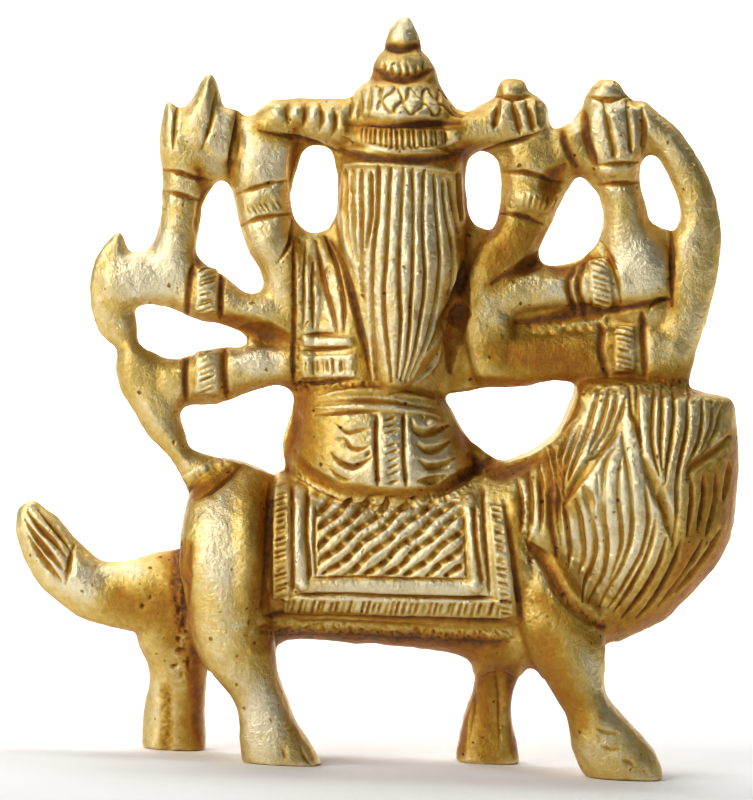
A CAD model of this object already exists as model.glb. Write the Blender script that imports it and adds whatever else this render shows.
# The finished surface of a small brass casting: a many-armed goddess riding a lion, seen from behind.
# Forms are drawn on the part's own grid, whose unit is close to a millimetre, and put into metres at the end.
# Carving is drawn on a sheet that stands through the figure's middle, as the camera sees it, in the same unit.
import math
import bpy
import mathutils
import numpy as np
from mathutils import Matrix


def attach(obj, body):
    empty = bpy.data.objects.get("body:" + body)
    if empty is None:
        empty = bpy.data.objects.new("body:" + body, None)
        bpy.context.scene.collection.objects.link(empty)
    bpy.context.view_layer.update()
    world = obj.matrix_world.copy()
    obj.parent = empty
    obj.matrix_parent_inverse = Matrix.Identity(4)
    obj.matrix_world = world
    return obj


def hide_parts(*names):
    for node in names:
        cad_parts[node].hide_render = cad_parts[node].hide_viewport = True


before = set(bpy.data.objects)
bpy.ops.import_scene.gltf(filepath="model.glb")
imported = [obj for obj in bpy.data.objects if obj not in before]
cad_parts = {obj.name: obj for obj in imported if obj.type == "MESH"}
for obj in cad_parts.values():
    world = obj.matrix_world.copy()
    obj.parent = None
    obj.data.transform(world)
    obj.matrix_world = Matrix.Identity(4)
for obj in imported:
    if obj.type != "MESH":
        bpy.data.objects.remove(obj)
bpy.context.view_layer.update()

grid = {
    "unit": 0.090 / 88.9,  # metres in a unit of the grid
    "origin": (-0.003, 2.442, 1.2),  # the part's own origin, on the grid
}
view = {
    "sheetX": 3.7, "sheetZ": 45.0,  # the middle of the sheet
    "distance": 700.0,
    "rise": 2.4,  # degrees that the camera looks down
    "roll": 2.5,  # degrees that the figure leans to the right in the picture
    "aimX": -0.69, "aimZ": 44.48,  # the middle of the picture
    "lens": 280.4,
}
casting = {
    "armVoxel": 0.26,
    "voxel": 0.165,
    "fillet": 24,  # rounds of smoothing, as moulding sand softens an edge
    "triangles": 196000,
    "armY": -1.0,  # the middle plane of the arms
    "armHalf": 2.57,  # half their thickness
    "edgeRound": 2.0,  # how far in from their outline the arms start to round off
    "edgeThin": 0.3,  # the share of their thickness left at the outline itself
}


# A smooth curve through rows of numbers, as a piecewise cubic whose slope at a row is half the step
# between its neighbours.
def smoothRows(rows, count, closed=False):
    rows = np.asarray(rows, float)
    n = len(rows)
    t = np.linspace(0, n if closed else n - 1, count, endpoint=not closed)
    i = np.minimum(t.astype(int), n - 1 if closed else n - 2)
    f = (t - i)[:, None]
    pick = (lambda k: rows[k % n]) if closed else (lambda k: rows[np.clip(k, 0, n - 1)])
    a, b, c, d = pick(i - 1), pick(i), pick(i + 1), pick(i + 2)
    return b + 0.5 * f * (c - a + f * (2 * a - 5 * b + 4 * c - d + f * (3 * (b - c) + d - a)))


# An oval section carried along a smooth path: the point at angle q of a row is
# centre + wide * width * |sin q|^(2/power) + deep * depth * |cos q|^(2/power), signs kept.
# Stations are x, y, z, half width, half depth. Ends close in a dome whose height is a share of the width.
def limb(stations, power=2.0, sides=44, rows=44, startCap=0.0, endCap=0.0, upright=False):
    s = smoothRows(stations, rows)
    centre = s[:, :3]
    along = np.gradient(centre, axis=0)
    along /= np.linalg.norm(along, axis=1)[:, None]
    if upright:
        along = np.array([0, 0, 1.0]) * np.sign(along[:, 2:3])
    deep = np.array([0, 1.0, 0]) - along * along[:, 1:2]
    deep /= np.linalg.norm(deep, axis=1)[:, None]
    wide = np.cross(deep, along)
    turn = np.linspace(0, math.pi / 2, 9)
    first, last = np.zeros(9, int), np.full(9, rows - 1)
    row = np.concatenate([first, np.arange(rows), last])
    share = np.concatenate([np.sin(turn), np.ones(rows), np.cos(turn)])
    beyond = np.concatenate([-startCap * np.cos(turn), np.zeros(rows), endCap * np.sin(turn)])
    q = np.linspace(0, 2 * math.pi, sides, endpoint=False)
    oval = lambda v: np.sign(v) * np.abs(v) ** (2 / power)
    across = (share * s[row, 3])[:, None] * oval(np.sin(q))[None, :]
    through = (share * s[row, 4])[:, None] * oval(np.cos(q))[None, :]
    middle = centre[row] + along[row] * (beyond * s[row, 3])[:, None]
    points = (middle[:, None, :] + wide[row][:, None, :] * across[:, :, None]
              + deep[row][:, None, :] * through[:, :, None])
    return points.reshape(-1, 3), gridFaces(len(row), sides)


# The four-sided faces of a grid of rows that close on themselves.
def gridFaces(rows, sides):
    r, c = np.meshgrid(np.arange(rows - 1), np.arange(sides), indexing="ij")
    here, there = r * sides + c, r * sides + (c + 1) % sides
    return np.stack([here, there, there + sides, here + sides], -1).reshape(-1, 4)


# An ellipsoid: the unit sphere's point at two angles, times three radii, leaning about the y axis.
def ball(centre, radii, lean=0.0, sides=40, rows=25):
    a = np.linspace(0, math.pi, rows)[:, None]
    q = np.linspace(0, 2 * math.pi, sides, endpoint=False)[None, :]
    x, y, z = np.sin(a) * np.cos(q) * radii[0], np.sin(a) * np.sin(q) * radii[1], np.cos(a) * radii[2] + 0 * q
    points = np.stack([x * math.cos(lean) + z * math.sin(lean), y, z * math.cos(lean) - x * math.sin(lean)], -1)
    return points.reshape(-1, 3) + np.array(centre, float), gridFaces(rows, sides)[:, ::-1]


# A flat form: a closed outline of x, z points, drawn smooth, standing from nearY to farY.
def slab(name, outline, nearY, farY, smooth=3):
    line = smoothRows(outline, smooth * len(outline), closed=True)
    n = len(line)
    points = np.concatenate([np.insert(line, 1, y, axis=1) for y in (nearY, farY)])
    k = np.arange(n)
    sides = np.stack([k, (k + 1) % n, (k + 1) % n + n, k + n], -1).tolist()
    mesh = bpy.data.meshes.new(name)
    mesh.from_pydata(points.tolist(), [], sides + [k[::-1].tolist(), (k + n).tolist()])
    area = np.sum(line[:, 0] * np.roll(line[:, 1], -1) - np.roll(line[:, 0], -1) * line[:, 1])
    if area > 0:
        mesh.flip_normals()
    return place(name, mesh)


def place(name, mesh):
    piece = bpy.data.objects.new(name, mesh)
    bpy.context.scene.collection.objects.link(piece)
    return piece


# Several grids of points put into one mesh.
def meshOf(name, shells):
    starts = np.cumsum([0] + [len(p) for p, _ in shells[:-1]])
    points = np.concatenate([p for p, _ in shells])
    faces = np.concatenate([f + s for (_, f), s in zip(shells, starts)])
    mesh = bpy.data.meshes.new(name)
    mesh.vertices.add(len(points))
    mesh.vertices.foreach_set("co", points.ravel())
    mesh.loops.add(faces.size)
    mesh.loops.foreach_set("vertex_index", faces.ravel())
    mesh.polygons.add(len(faces))
    mesh.polygons.foreach_set("loop_start", np.arange(0, faces.size, 4))
    mesh.update(calc_edges=True)
    return place(name, mesh)


# Works an object's modifiers into its mesh.
def settle(piece):
    graph = bpy.context.evaluated_depsgraph_get()
    mesh = bpy.data.meshes.new_from_object(piece.evaluated_get(graph))
    piece.modifiers.clear()
    piece.data = mesh
    return piece


def fuse(piece, size):
    remesh = piece.modifiers.new("fuse", "REMESH")
    remesh.mode = "VOXEL"
    remesh.voxel_size = size
    return settle(piece)


def cut(piece, cutters, operation="DIFFERENCE"):
    for cutter in cutters:
        change = piece.modifiers.new("cut", "BOOLEAN")
        change.operation = operation
        change.solver = "MANIFOLD"
        change.object = cutter
    settle(piece)
    return piece


def gather(name, pieces):
    # several objects as one, and the old ones away
    with bpy.context.temp_override(active_object=pieces[0], selected_editable_objects=pieces,
                                   selected_objects=pieces, object=pieces[0]):
        bpy.ops.object.join()
    pieces[0].name = name
    return pieces[0]


def pointsOf(mesh):
    points = np.empty(len(mesh.vertices) * 3)
    mesh.vertices.foreach_get("co", points)
    return points.reshape(-1, 3)


def normalsOf(mesh):
    normals = np.empty(len(mesh.vertices) * 3)
    mesh.vertices.foreach_get("normal", normals)
    return normals.reshape(-1, 3)


# How far points lie from a line of straight pieces, and the share of the line at the nearest place.
def fromLine(points, line, closed=False):
    ends = np.roll(line, -1, axis=0) if closed else line[1:]
    starts = line if closed else line[:-1]
    lengths = np.linalg.norm(ends - starts, axis=1)
    run = np.concatenate([[0], np.cumsum(lengths)])
    best = np.full(len(points), 1e9)
    share = np.zeros(len(points))
    for start, end, length, before in zip(starts, ends, lengths, run):
        if length < 1e-9:
            continue
        step = (end - start) / length
        off = points - start
        t = np.clip(off @ step, 0, length)
        far = np.hypot(off[:, 0] - t * step[0], off[:, 1] - t * step[1])
        closer = far < best
        best[closer] = far[closer]
        share[closer] = (before + t[closer]) / run[-1]
    return best, share


# The place on the sheet where the camera sees a point: along a line through the camera to the
# sheet's plane, then turned by the roll. Across from the sheet's middle, and up from the ground.
def onSheet(points):
    rise, roll, far = math.radians(view["rise"]), math.radians(view["roll"]), view["distance"]
    x, y, z = points[:, 0] - view["sheetX"], points[:, 1], points[:, 2] - view["sheetZ"]
    depth = far + y * math.cos(rise) - z * math.sin(rise)
    across = far * x / depth
    up = far * (y * math.sin(rise) + z * math.cos(rise)) / depth + view["sheetZ"]
    return np.stack([across * math.cos(roll) + up * math.sin(roll),
                     up * math.cos(roll) - across * math.sin(roll)], -1)


def ease(v):
    v = np.clip(v, 0, 1)
    return v * v * (3 - 2 * v)


# The gaps between the arms, the body and the lion, as x, z outlines on the arms' plane.
gaps = {
    "besideHair": [(-8.9, 74.5), (-10.5, 73.9), (-11.3, 71.7), (-11.9, 68.8), (-11.6, 66.3), (-10.3, 64.6),
                   (-8.9, 64.1), (-7.2, 65), (-6.4, 67.5), (-6.6, 71.4), (-7.4, 74)],
    "besideBud": [(-20.5, 69.9), (-21.4, 68.8), (-22.4, 66.7), (-22.8, 63.6), (-22.8, 61.1), (-21.4, 59.5),
                  (-19.2, 58.4), (-17.4, 56.9), (-15.6, 56.6), (-14.7, 57.7), (-15.5, 59.9), (-16.9, 62.1),
                  (-18.1, 65.5), (-19.1, 68.9)],
    "underAxe": [(-29.8, 54.1), (-28.1, 54.7), (-25.5, 54.3), (-22.1, 53.1), (-17.5, 52.1), (-16.3, 50.9),
                 (-17.2, 50.1), (-20.2, 49.9), (-23.1, 48.8), (-25.5, 48.4), (-27.9, 49.2), (-29.2, 50),
                 (-29.5, 52.2)],
    "behindHips": [(-23.9, 41.6), (-23.3, 42.8), (-20.8, 43), (-17.9, 43.8), (-14.4, 45.3), (-12, 45.8),
                   (-10.6, 44.4), (-10.9, 41.9), (-11.6, 39.3), (-11.3, 35.1), (-14, 35.7), (-17.8, 36.7),
                   (-22.3, 37.6), (-23.2, 39.5)],
    "besideShoulder": [(10.9, 74.6), (9.2, 73.9), (8.7, 71.7), (9, 68.4), (9.7, 66.4), (11.3, 65.3),
                       (12.4, 65.8), (12.9, 68.4), (12.9, 71.3), (12.4, 73.6)],
    "besideMace": [(22, 72.2), (20.7, 69.9), (19.4, 67), (17.9, 63.2), (18.4, 61.7), (20.1, 61.4),
                   (22.8, 62.3), (24.7, 64.4), (25.4, 66.9), (24.8, 69.7), (23.6, 71.3)],
    "beforeHips": [(7.6, 45.5), (11, 46.2), (16.3, 46.9), (21.3, 47.8), (23, 47.1), (22.3, 44.6), (21.3, 41.9),
                   (19, 39.7), (16.7, 38.5), (14.7, 37.9), (12.6, 38.9), (9.9, 41), (8.5, 43.3)],
    "besideBow": [(30.6, 75), (29.6, 74), (29.6, 71.5), (30.4, 68.8), (31, 67.2), (32.9, 66.3), (33.9, 66.4),
                  (34.4, 68.2), (33.7, 70.9), (31.9, 74.3)],
}
outlines = {
    "left": [(-2, 79), (-6, 80.2), (-10.1, 80), (-13.9, 79.9), (-15.8, 78.9), (-17.2, 77.6), (-18.9, 78.4),
             (-20.4, 78.7), (-21.1, 81), (-21.8, 82.4), (-22.5, 82.4), (-23.3, 81.5), (-24.4, 78.9), (-25.8, 78.3),
             (-26.9, 79), (-27.4, 78.1), (-27.8, 76), (-27.8, 73.4), (-27.4, 69.6), (-27.3, 66), (-27.5, 63.3),
             (-28.5, 61.5), (-29.6, 61), (-30.7, 61), (-31.4, 62.3), (-32.2, 63.4), (-33.7, 61.8), (-34.8, 59.7),
             (-35.3, 57.6), (-35.3, 54.9), (-34.6, 52.2), (-33.5, 50.4), (-32.1, 49.4), (-31.8, 48.5),
             (-31.9, 47.3), (-31.3, 44.6), (-29.8, 42.2), (-27.7, 39.2), (-25.6, 37.1), (-23.8, 35),
             (-22.5, 32.3), (-22.2, 29.8), (-20.9, 24.5), (-9, 25), (-2, 44.4)],
    "right": [(3, 78), (7.1, 79.7), (8.7, 79.2), (10.5, 80.5), (11.7, 81.2), (12, 82.4), (12.7, 83.2), (14, 83.4),
              (15.3, 83.2), (15.8, 82.1), (17.3, 81.2), (18.2, 80), (18.6, 77.9), (19.7, 77.9), (21.2, 78.9),
              (22.2, 80.8), (23, 82.6), (23.9, 83.7), (25, 83.9), (26.2, 83.6), (27.3, 82.3), (28.4, 81.4),
              (29.7, 81.5), (30.9, 80.5), (32.7, 79.2), (34.6, 77.4), (36.5, 74.7), (38, 71.7), (39.1, 68.2),
              (39.5, 64.8), (39.1, 60.3), (37.9, 54.8), (36.7, 49.7), (36.5, 47.6), (37.1, 46.9), (38, 41.4),
              (26.5, 33.8), (12.3, 30.8), (4.5, 44.7)],
}
plates = {  # the thin web cast between the arms
    "left": [(-4.4, 77), (-16, 77), (-19.5, 79.5), (-23, 77), (-24.6, 66), (-27, 63.4), (-32, 59.5), (-33, 54),
             (-30.8, 48.5), (-28.4, 44), (-20, 34), (-14, 29), (-4.4, 44.4)],
    "right": [(3, 77), (9, 81.5), (14, 81), (19, 79.5), (22, 80), (25.5, 82), (29.5, 82), (33, 77), (36, 70),
              (36.7, 62), (35.4, 52), (34.5, 45), (26, 34), (12, 31), (4.5, 44.7)],
}
gapCutters = [slab(name, line, -30, 30) for name, line in gaps.items()]

# The arms with what they hold, as x, z and half width on their plane, with a share of their thickness.
leftArms = {
    "upperArm": (1.15, [(-14.5, 76, 3.2), (-15.3, 70.5, 3.5), (-15, 66, 3.3), (-13.6, 61.4, 3.2), (-9, 54.5, 3.4)]),
    "fist": (1.15, [(-4, 77.5, 3), (-10, 77.6, 3), (-15, 77.4, 2.8)]),
    "shoulder": (1.0, [(-13.6, 76.9, 2.6), (-17, 75.8, 2.2)]),
    "petalLeft": (1.05, [(-25.7, 73, 2.3), (-26.7, 79, 0.9)]),
    "petalMiddle": (1.15, [(-23, 74.5, 3), (-22.6, 79, 2.1), (-22.1, 82.5, 0.9)]),
    "petalRight": (1.05, [(-20.6, 73, 2.4), (-19.8, 78.6, 1.5)]),
    "bud": (1.0, [(-23.3, 76.4, 4.2), (-23.6, 72.4, 4.4), (-24.4, 69, 3.1), (-24.9, 66, 2.6), (-25.4, 58.8, 3.2)]),
    "axeHand": (0.95, [(-22, 57.2, 2.8), (-26, 58, 3.6), (-32.4, 57, 3.4)]),
    "axe": (0.62, [(-32, 63.5, 0.6), (-32.6, 60.4, 2.4), (-33, 57, 2.8), (-32.5, 53.4, 3.1), (-30, 48.4, 2.6)]),
    "middleArm": (1.05, [(-23.4, 56.8, 3.1), (-18, 55.2, 2.7), (-13, 54, 2.7), (-8.6, 53, 2.8)]),
    "lowerArm": (1.05, [(-25.8, 45.6, 3.2), (-21, 46.7, 3.1), (-16.5, 47.6, 2.7), (-8.6, 48.3, 2.8)]),
    "club": (0.95, [(-30.2, 49, 2.2), (-28.5, 46, 3.5), (-26.9, 43, 3.4), (-25.2, 39.6, 2.7), (-22.9, 36.6, 2.9),
                    (-19.4, 33, 3.7)]),
}
rightArms = {
    "upperArm": (1.15, [(13.4, 48.6, 3), (12, 54, 3.2), (12, 59, 3), (14.6, 64.6, 3), (16.5, 69.4, 3.2),
                        (16.9, 74, 3.3)]),
    "wrist": (1.0, [(14.6, 74.8, 2.4), (18, 74.6, 3.4), (22, 75.2, 3.6), (25, 77, 3)]),
    "crownFist": (1.3, [(6.6, 76.4, 2.7), (12.2, 78, 3.1), (17, 79.3, 3.1)]),
    "fistKnob": (0.9, [(13.9, 79.4, 2.4), (13.9, 82.4, 2.2)]),
    "maceKnob": (0.9, [(25.4, 79, 3.2), (25.1, 83, 2.6)]),
    "maceFist": (1.4, [(26.6, 73.2, 2.9), (26.2, 76.2, 3.9), (25.6, 79.6, 3.3)]),
    "shaft": (1.05, [(26.9, 74, 2.7), (27.6, 69, 2.6), (28.6, 65, 3.2), (30.4, 61, 4), (30.2, 56.4, 3.4)]),
    "middleArm": (1.1, [(11.4, 57.4, 2.7), (17, 58.4, 2.6), (21.8, 59.2, 2.6), (28, 59.6, 3)]),
    "lowerArm": (1.1, [(12.2, 49.8, 3.3), (18.6, 50, 3.3), (25, 50.7, 3.4), (30.4, 51.3, 3.6), (34.6, 51.4, 3.4)]),
    "bow": (0.95, [(28.8, 80.2, 1.6), (32.4, 77.4, 2.6), (35.2, 72.6, 2.9), (36.4, 67, 3.1), (36.5, 61, 3.2),
                   (35.6, 55.6, 3.1), (34.3, 46.4, 2.8)]),
}


# Rounds a flat form off towards its outlines: a point's depth from the middle plane is multiplied by
# thin + (1 - thin) * a quarter circle of its distance from the nearest outline.
def pillow(piece, lines, middle, reach, thin):
    points = pointsOf(piece.data)
    flat = points[:, [0, 2]]
    off = np.full(len(flat), 1e9)
    for line in lines:
        line = smoothRows(line, 3 * len(line), closed=True)
        off = np.minimum(off, fromLine(flat, line, closed=True)[0])
    arc = np.sqrt(1 - (1 - np.clip(off / reach, 0, 1)) ** 2)
    points[:, 1] = middle + (points[:, 1] - middle) * (thin + (1 - thin) * arc)
    piece.data.vertices.foreach_set("co", points.ravel())
    return piece


# Flat limbs of a nearly square section, joined by a thin web and trimmed to their outline and gaps.
def armSide(side, arms):
    y, half = casting["armY"], casting["armHalf"]
    shells = [limb([(x, y, z, w, half * share) for x, z, w in line], power=2.8, startCap=0.5, endCap=0.6)
              for share, line in arms.values()]
    piece = meshOf(side + "Arms", shells)
    web = slab(side + "Web", plates[side], y - 1.2, y + 1.2, smooth=1)
    piece = fuse(gather(side + "Arms", [piece, web]), casting["armVoxel"])
    frame2 = slab(side + "Outline", outlines[side], -30, 30)
    cut(piece, [frame2], "INTERSECT")
    cut(piece, gapCutters)
    bpy.data.objects.remove(frame2)
    fuse(piece, casting["armVoxel"])
    return pillow(piece, [outlines[side]] + list(gaps.values()), y, casting["edgeRound"], casting["edgeThin"])


arms = [armSide("left", leftArms), armSide("right", rightArms)]
print("arms", [len(a.data.vertices) for a in arms])

# The lion: x, y, z, half width, half depth.
lionForms = {
    "barrel": [(-18, 0, 25.6, 9.4, 8), (-4, 0, 25.2, 9.7, 8.6), (8, 0, 25.8, 10.1, 8.8), (18, 0, 26.6, 11, 9)],
    "nearHind": [(-16.6, -0.4, 36.0, 3.8, 3.2), (-17.2, -2.4, 33.2, 4.9, 4.6), (-17.8, -4.1, 29.4, 5.3, 5.4),
                 (-17.8, -5.0, 24.8, 5.4, 5.5), (-17.2, -5.4, 20.2, 5.1, 5.2), (-16.1, -5.8, 15.0, 4.7, 4.7),
                 (-15.1, -6, 12.0, 4.0, 4.2), (-13.9, -6, 10.2, 3.5, 4), (-12.9, -6, 8.5, 3.3, 3.8), (-11.9, -6, 6.2, 3.4, 3.8),
                 (-11.0, -6, 3.9, 4.1, 3.8), (-10.1, -6, 1.6, 4.6, 3.8), (-9.8, -6, 0, 4.8, 3.7)],
    "farHind": [(-18.5, 2, 26, 4.4, 4.6), (-21.6, 1.6, 21, 5.6, 4.8), (-23.5, 1.8, 17, 5.0, 4.6), (-23.6, 2.8, 14, 4.4, 4.2),
                (-23.2, 4, 11.6, 3.6, 4), (-23.1, 5, 9.4, 3.4, 3.9), (-23.4, 5.8, 6, 3.6, 3.8), (-23.3, 6, 0, 3.9, 3.9)],
    "nearFore": [(19.6, -2.6, 29, 4.6, 4.2), (20.6, -4.0, 25.5, 5.6, 4.8), (21.9, -5.1, 20, 5.5, 4.9), (23.2, -5.7, 15.4, 4.5, 4.5),
                 (24.3, -6, 12.2, 3.4, 4.0), (25.2, -6, 10.6, 3.2, 3.8), (26.6, -6, 8.6, 3.5, 3.8), (27.9, -6, 6.8, 4.2, 3.9),
                 (28.9, -6, 5, 4.8, 4.0), (29.8, -6, 3.3, 5.0, 4.0), (30.5, -6, 1.5, 4.8, 3.9), (30.8, -6, 0, 4.3, 3.7)],
    "farFore": [(15.7, 3.6, 20, 4.6, 4.6), (15.4, 5.2, 13.4, 3.4, 3.6), (15.2, 5.6, 11.8, 2.7, 3.2), (14.9, 5.8, 10.1, 2.4, 3.0),
                (14.5, 6, 8.2, 2.5, 3.1), (14.4, 6, 6.2, 2.9, 3.3), (14.5, 6, 3.8, 3.5, 3.6), (14.6, 6, 0, 3.9, 3.9)],
    "tail": [(-18.6, 0.8, 20.5, 6.6, 5.4), (-24.6, 0.6, 20, 5.4, 4.2), (-29.6, 0.5, 19.8, 4.2, 3.5), (-34, 0.3, 20.5, 3.6, 3),
             (-37.9, 0, 23.6, 3.5, 2.7), (-40.5, 0, 27.4, 2.8, 2.2), (-41.7, 0, 29.8, 1.4, 1.3)],
    "neck": [(13, 0, 30.4, 7.6, 8), (19, 0, 31.2, 8, 8.8), (26, 0, 32.6, 8.6, 9.2)],
    "mane": [(28.8, 0, 17.2, 1.4, 3), (30.4, 0, 20.5, 5.2, 6.4), (30.5, 0, 25.6, 9.5, 9.4),
             (30.2, 0, 30.2, 12.2, 10.2), (29, 0, 35, 13.8, 10.7), (29.7, 0, 39.2, 13.2, 10.2),
             (31.3, 0, 42.8, 11.2, 8.9), (31.0, 0, 46.3, 10.7, 7.8), (30.0, 0, 46.9, 9.0, 7.2), (29.2, 0, 47.5, 7.4, 6.6)],
    "browLeft": [(31.8, 12.8, 36.6, 0.7, 0.7), (29.8, 12.4, 37.8, 0.8, 0.8), (27.8, 11, 36.8, 0.6, 0.6)],
    "browRight": [(34.2, 12.8, 36.6, 0.7, 0.7), (36.2, 12.4, 37.8, 0.8, 0.8), (38.2, 11, 36.8, 0.6, 0.6)],
}
lionCaps = {"barrel": (0.35, 0), "nearHind": (0.3, 0), "tail": (0, 0.5), "nearFore": (0.3, 0),
            "farHind": (0, 0), "mane": (0.3, 0.15)}
lionUpright = {"mane", "nearHind", "farHind", "nearFore", "farFore"}
lionPower = {"nearHind": 2.6, "farHind": 2.5, "farFore": 2.8, "nearFore": 2.3}
lionBalls = [
    ((33, 7.6, 34), (7, 5.6, 7.4), 0), ((33, 11.8, 31.2), (3.9, 3.6, 3.1), 0),  # face, muzzle
    ((33, 15, 32.6), (1.6, 0.9, 1), 0), ((33, 11.4, 27.6), (2.6, 2.6, 1.5), 0),  # nose, chin
    ((30.1, 12.3, 35.8), (1.2, 0.8, 0.8), 0), ((35.9, 12.3, 35.8), (1.2, 0.8, 0.8), 0),  # eyes
    ((28.1, 8.2, 40.4), (1.9, 1.6, 2.3), -0.4), ((37.9, 8.2, 40.4), (1.9, 1.6, 2.3), 0.4),  # ears
]
lionBelly = [(-21.5, 16), (-20.2, 12.6), (-19.2, 11.4), (-18.5, 11.4), (-15.7, 13.9), (-11.6, 13.2), (-11.5, 14.3),
             (-10.8, 15.1), (-9.5, 15.6), (-5, 15.6), (1, 15.4), (7, 15.1), (10, 14.6), (11.5, 14),
             (12.2, 13.2), (12.5, 12), (14.9, 13.1), (17.8, 12.2), (18.3, 13.2), (19.1, 13.4), (20.1, 13),
             (20.9, 12.1), (23.8, 14.4), (26, 13.6), (26.8, 15.2), (28, 16.8), (29.6, 17.6), (31.6, 18.8),
             (32.8, 26.8), (-9, 25), (-20, 21)]
cloth = {"left": -12.2, "right": 16.0, "low": 18.6, "high": 36.2, "skew": 1.6, "thick": 0.7}

# The goddess.
figureForms = {
    "hips": [(0.4, 0.4, 34.6, 11.4, 9), (0.2, 0.4, 38, 11.7, 9), (-0.5, 0.4, 41.8, 10.2, 8), (-1.4, 0.4, 46, 8.8, 6.4)],
    "torso": [(-1, 0.2, 46, 8.6, 6), (-0.6, 0.2, 52, 9.4, 5.8), (0.4, 0.2, 58, 9.8, 6), (1, 0.4, 64.4, 6.4, 4.6)],
    "hair": [(1.2, -1.4, 74.6, 7.2, 5.6), (1.2, -1.6, 69.8, 7.3, 5.8), (1.4, -1.8, 65, 7.7, 5.9),
             (1.9, -2, 60.4, 7.1, 5.8), (1.8, -2.2, 55.6, 5.6, 5.6), (2, -2.2, 51, 4.6, 5.4), (1.2, -2, 46.6, 2.6, 5)],
    "thighRight": [(4, 4, 38, 4, 4.2), (8, 7.4, 37, 3.6, 3.8), (10, 9, 36, 3.2, 3.4)],
    "thighLeft": [(-4, 4, 38, 4, 4.2), (-7, 8, 36.6, 3.6, 3.8), (-7.8, 10, 34.6, 3.2, 3.2)],
    "foldedShin": [(10, 9.6, 35.6, 3, 3), (4.5, 11.2, 34.6, 2.7, 2.6), (-0.5, 12, 34, 1.8, 1.8), (-4, 12.4, 34.4, 1.3, 1.5)],
    "hangingShin": [(-7.8, 10.4, 34, 3, 3), (-7.2, 10.8, 28, 2.6, 2.5), (-6.8, 10.4, 22.5, 1.8, 2), (-5.6, 12.2, 20.4, 1.5, 1.5)],
    "neck": [(1, 1.2, 60, 3.8, 3.6), (1, 1.4, 64, 3, 3)],
    "nose": [(1, 6.9, 70.2, 0.5, 0.5), (1, 7.5, 67.4, 0.95, 0.9)],
    "blessingArm": [(8.4, 2.4, 60, 2.9, 2.9), (11, 5.4, 55.4, 2.6, 2.6), (10.6, 8.4, 51, 2.3, 2.4), (9.4, 10.6, 54, 1.9, 1.9), (8.8, 11.2, 57, 1.8, 1.5)],
    "blessingPalm": [(8.8, 11.3, 56.6, 1.7, 1.2), (8.8, 11.2, 61, 1.3, 0.7)],
    "flowerArm": [(-7.6, 2.4, 59.6, 2.9, 2.9), (-9.6, 5.4, 54.4, 2.6, 2.6), (-9, 8.2, 49.4, 2.3, 2.4), (-5.6, 9.8, 47.2, 2, 2), (-3.4, 10.4, 47.4, 1.8, 1.7)],
    "flower": [(-2.8, 10.6, 47.4, 0.2, 0.2), (-2.8, 10.6, 48, 1.2, 1.2), (-2.8, 10.6, 49.9, 1.9, 1.9), (-2.8, 10.6, 51.6, 1.5, 1.5), (-2.8, 10.6, 53.1, 0.15, 0.15)],
    "browLeft": [(0.1, 6.7, 71.2, 0.3, 0.4), (-1.4, 6.3, 71.8, 0.35, 0.4), (-3, 5.3, 71.1, 0.25, 0.4)],
    "browRight": [(1.9, 6.7, 71.2, 0.3, 0.4), (3.4, 6.3, 71.8, 0.35, 0.4), (5, 5.3, 71.1, 0.25, 0.4)],
    "earLeft": [(-4.7, 1.8, 70.4, 0.8, 1.3), (-4.8, 1.8, 67.6, 0.9, 1.1), (-5, 2.2, 65.2, 1.2, 1.3)],
    "earRight": [(6.7, 1.8, 70.4, 0.8, 1.3), (6.8, 1.8, 67.6, 0.9, 1.1), (7, 2.2, 65.2, 1.2, 1.3)],
    "necklace": [(-4, 4.4, 60.6, 0.7, 0.7), (1, 6.9, 57, 1, 1), (6, 4.4, 60.6, 0.7, 0.7)],
}
figureCaps = {"hips": (0.35, 0), "hair": (0, 0.4), "nose": (0.5, 0.5), "blessingPalm": (0, 0.6),
              "foldedShin": (0.2, 0.8), "hangingShin": (0.3, 0.8), "thighRight": (0, 0.5), "thighLeft": (0, 0.5),
              "blessingArm": (0, 0.4), "flowerArm": (0, 0.5), "browLeft": (0.5, 0.5), "browRight": (0.5, 0.5),
              "earLeft": (0.4, 0.4), "earRight": (0.4, 0.4), "necklace": (0.4, 0.4)}
figureUpright = {"hips", "torso", "hair", "flower"}
figureBalls = [
    ((1, 1.6, 68.6), (5.7, 5.6, 7), 0), ((1, 6.7, 65.4), (1.6, 0.8, 0.6), 0),
    ((-1.3, 6.3, 69.7), (1.2, 0.8, 0.6), 0), ((3.3, 6.3, 69.7), (1.2, 0.8, 0.6), 0),
    ((-2.5, 4, 54.6), (3.2, 3.2, 3.1), 0), ((4.5, 4, 54.6), (3.2, 3.2, 3.1), 0),
] + [((1 + 4.6 * s, 6.3 - 1.9 * s * s, 57.3 + 3.2 * s * s), (0.75, 0.75, 0.75), 0)
     for s in (-1, -0.67, -0.34, 0, 0.34, 0.67, 1)]  # a string of beads
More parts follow.
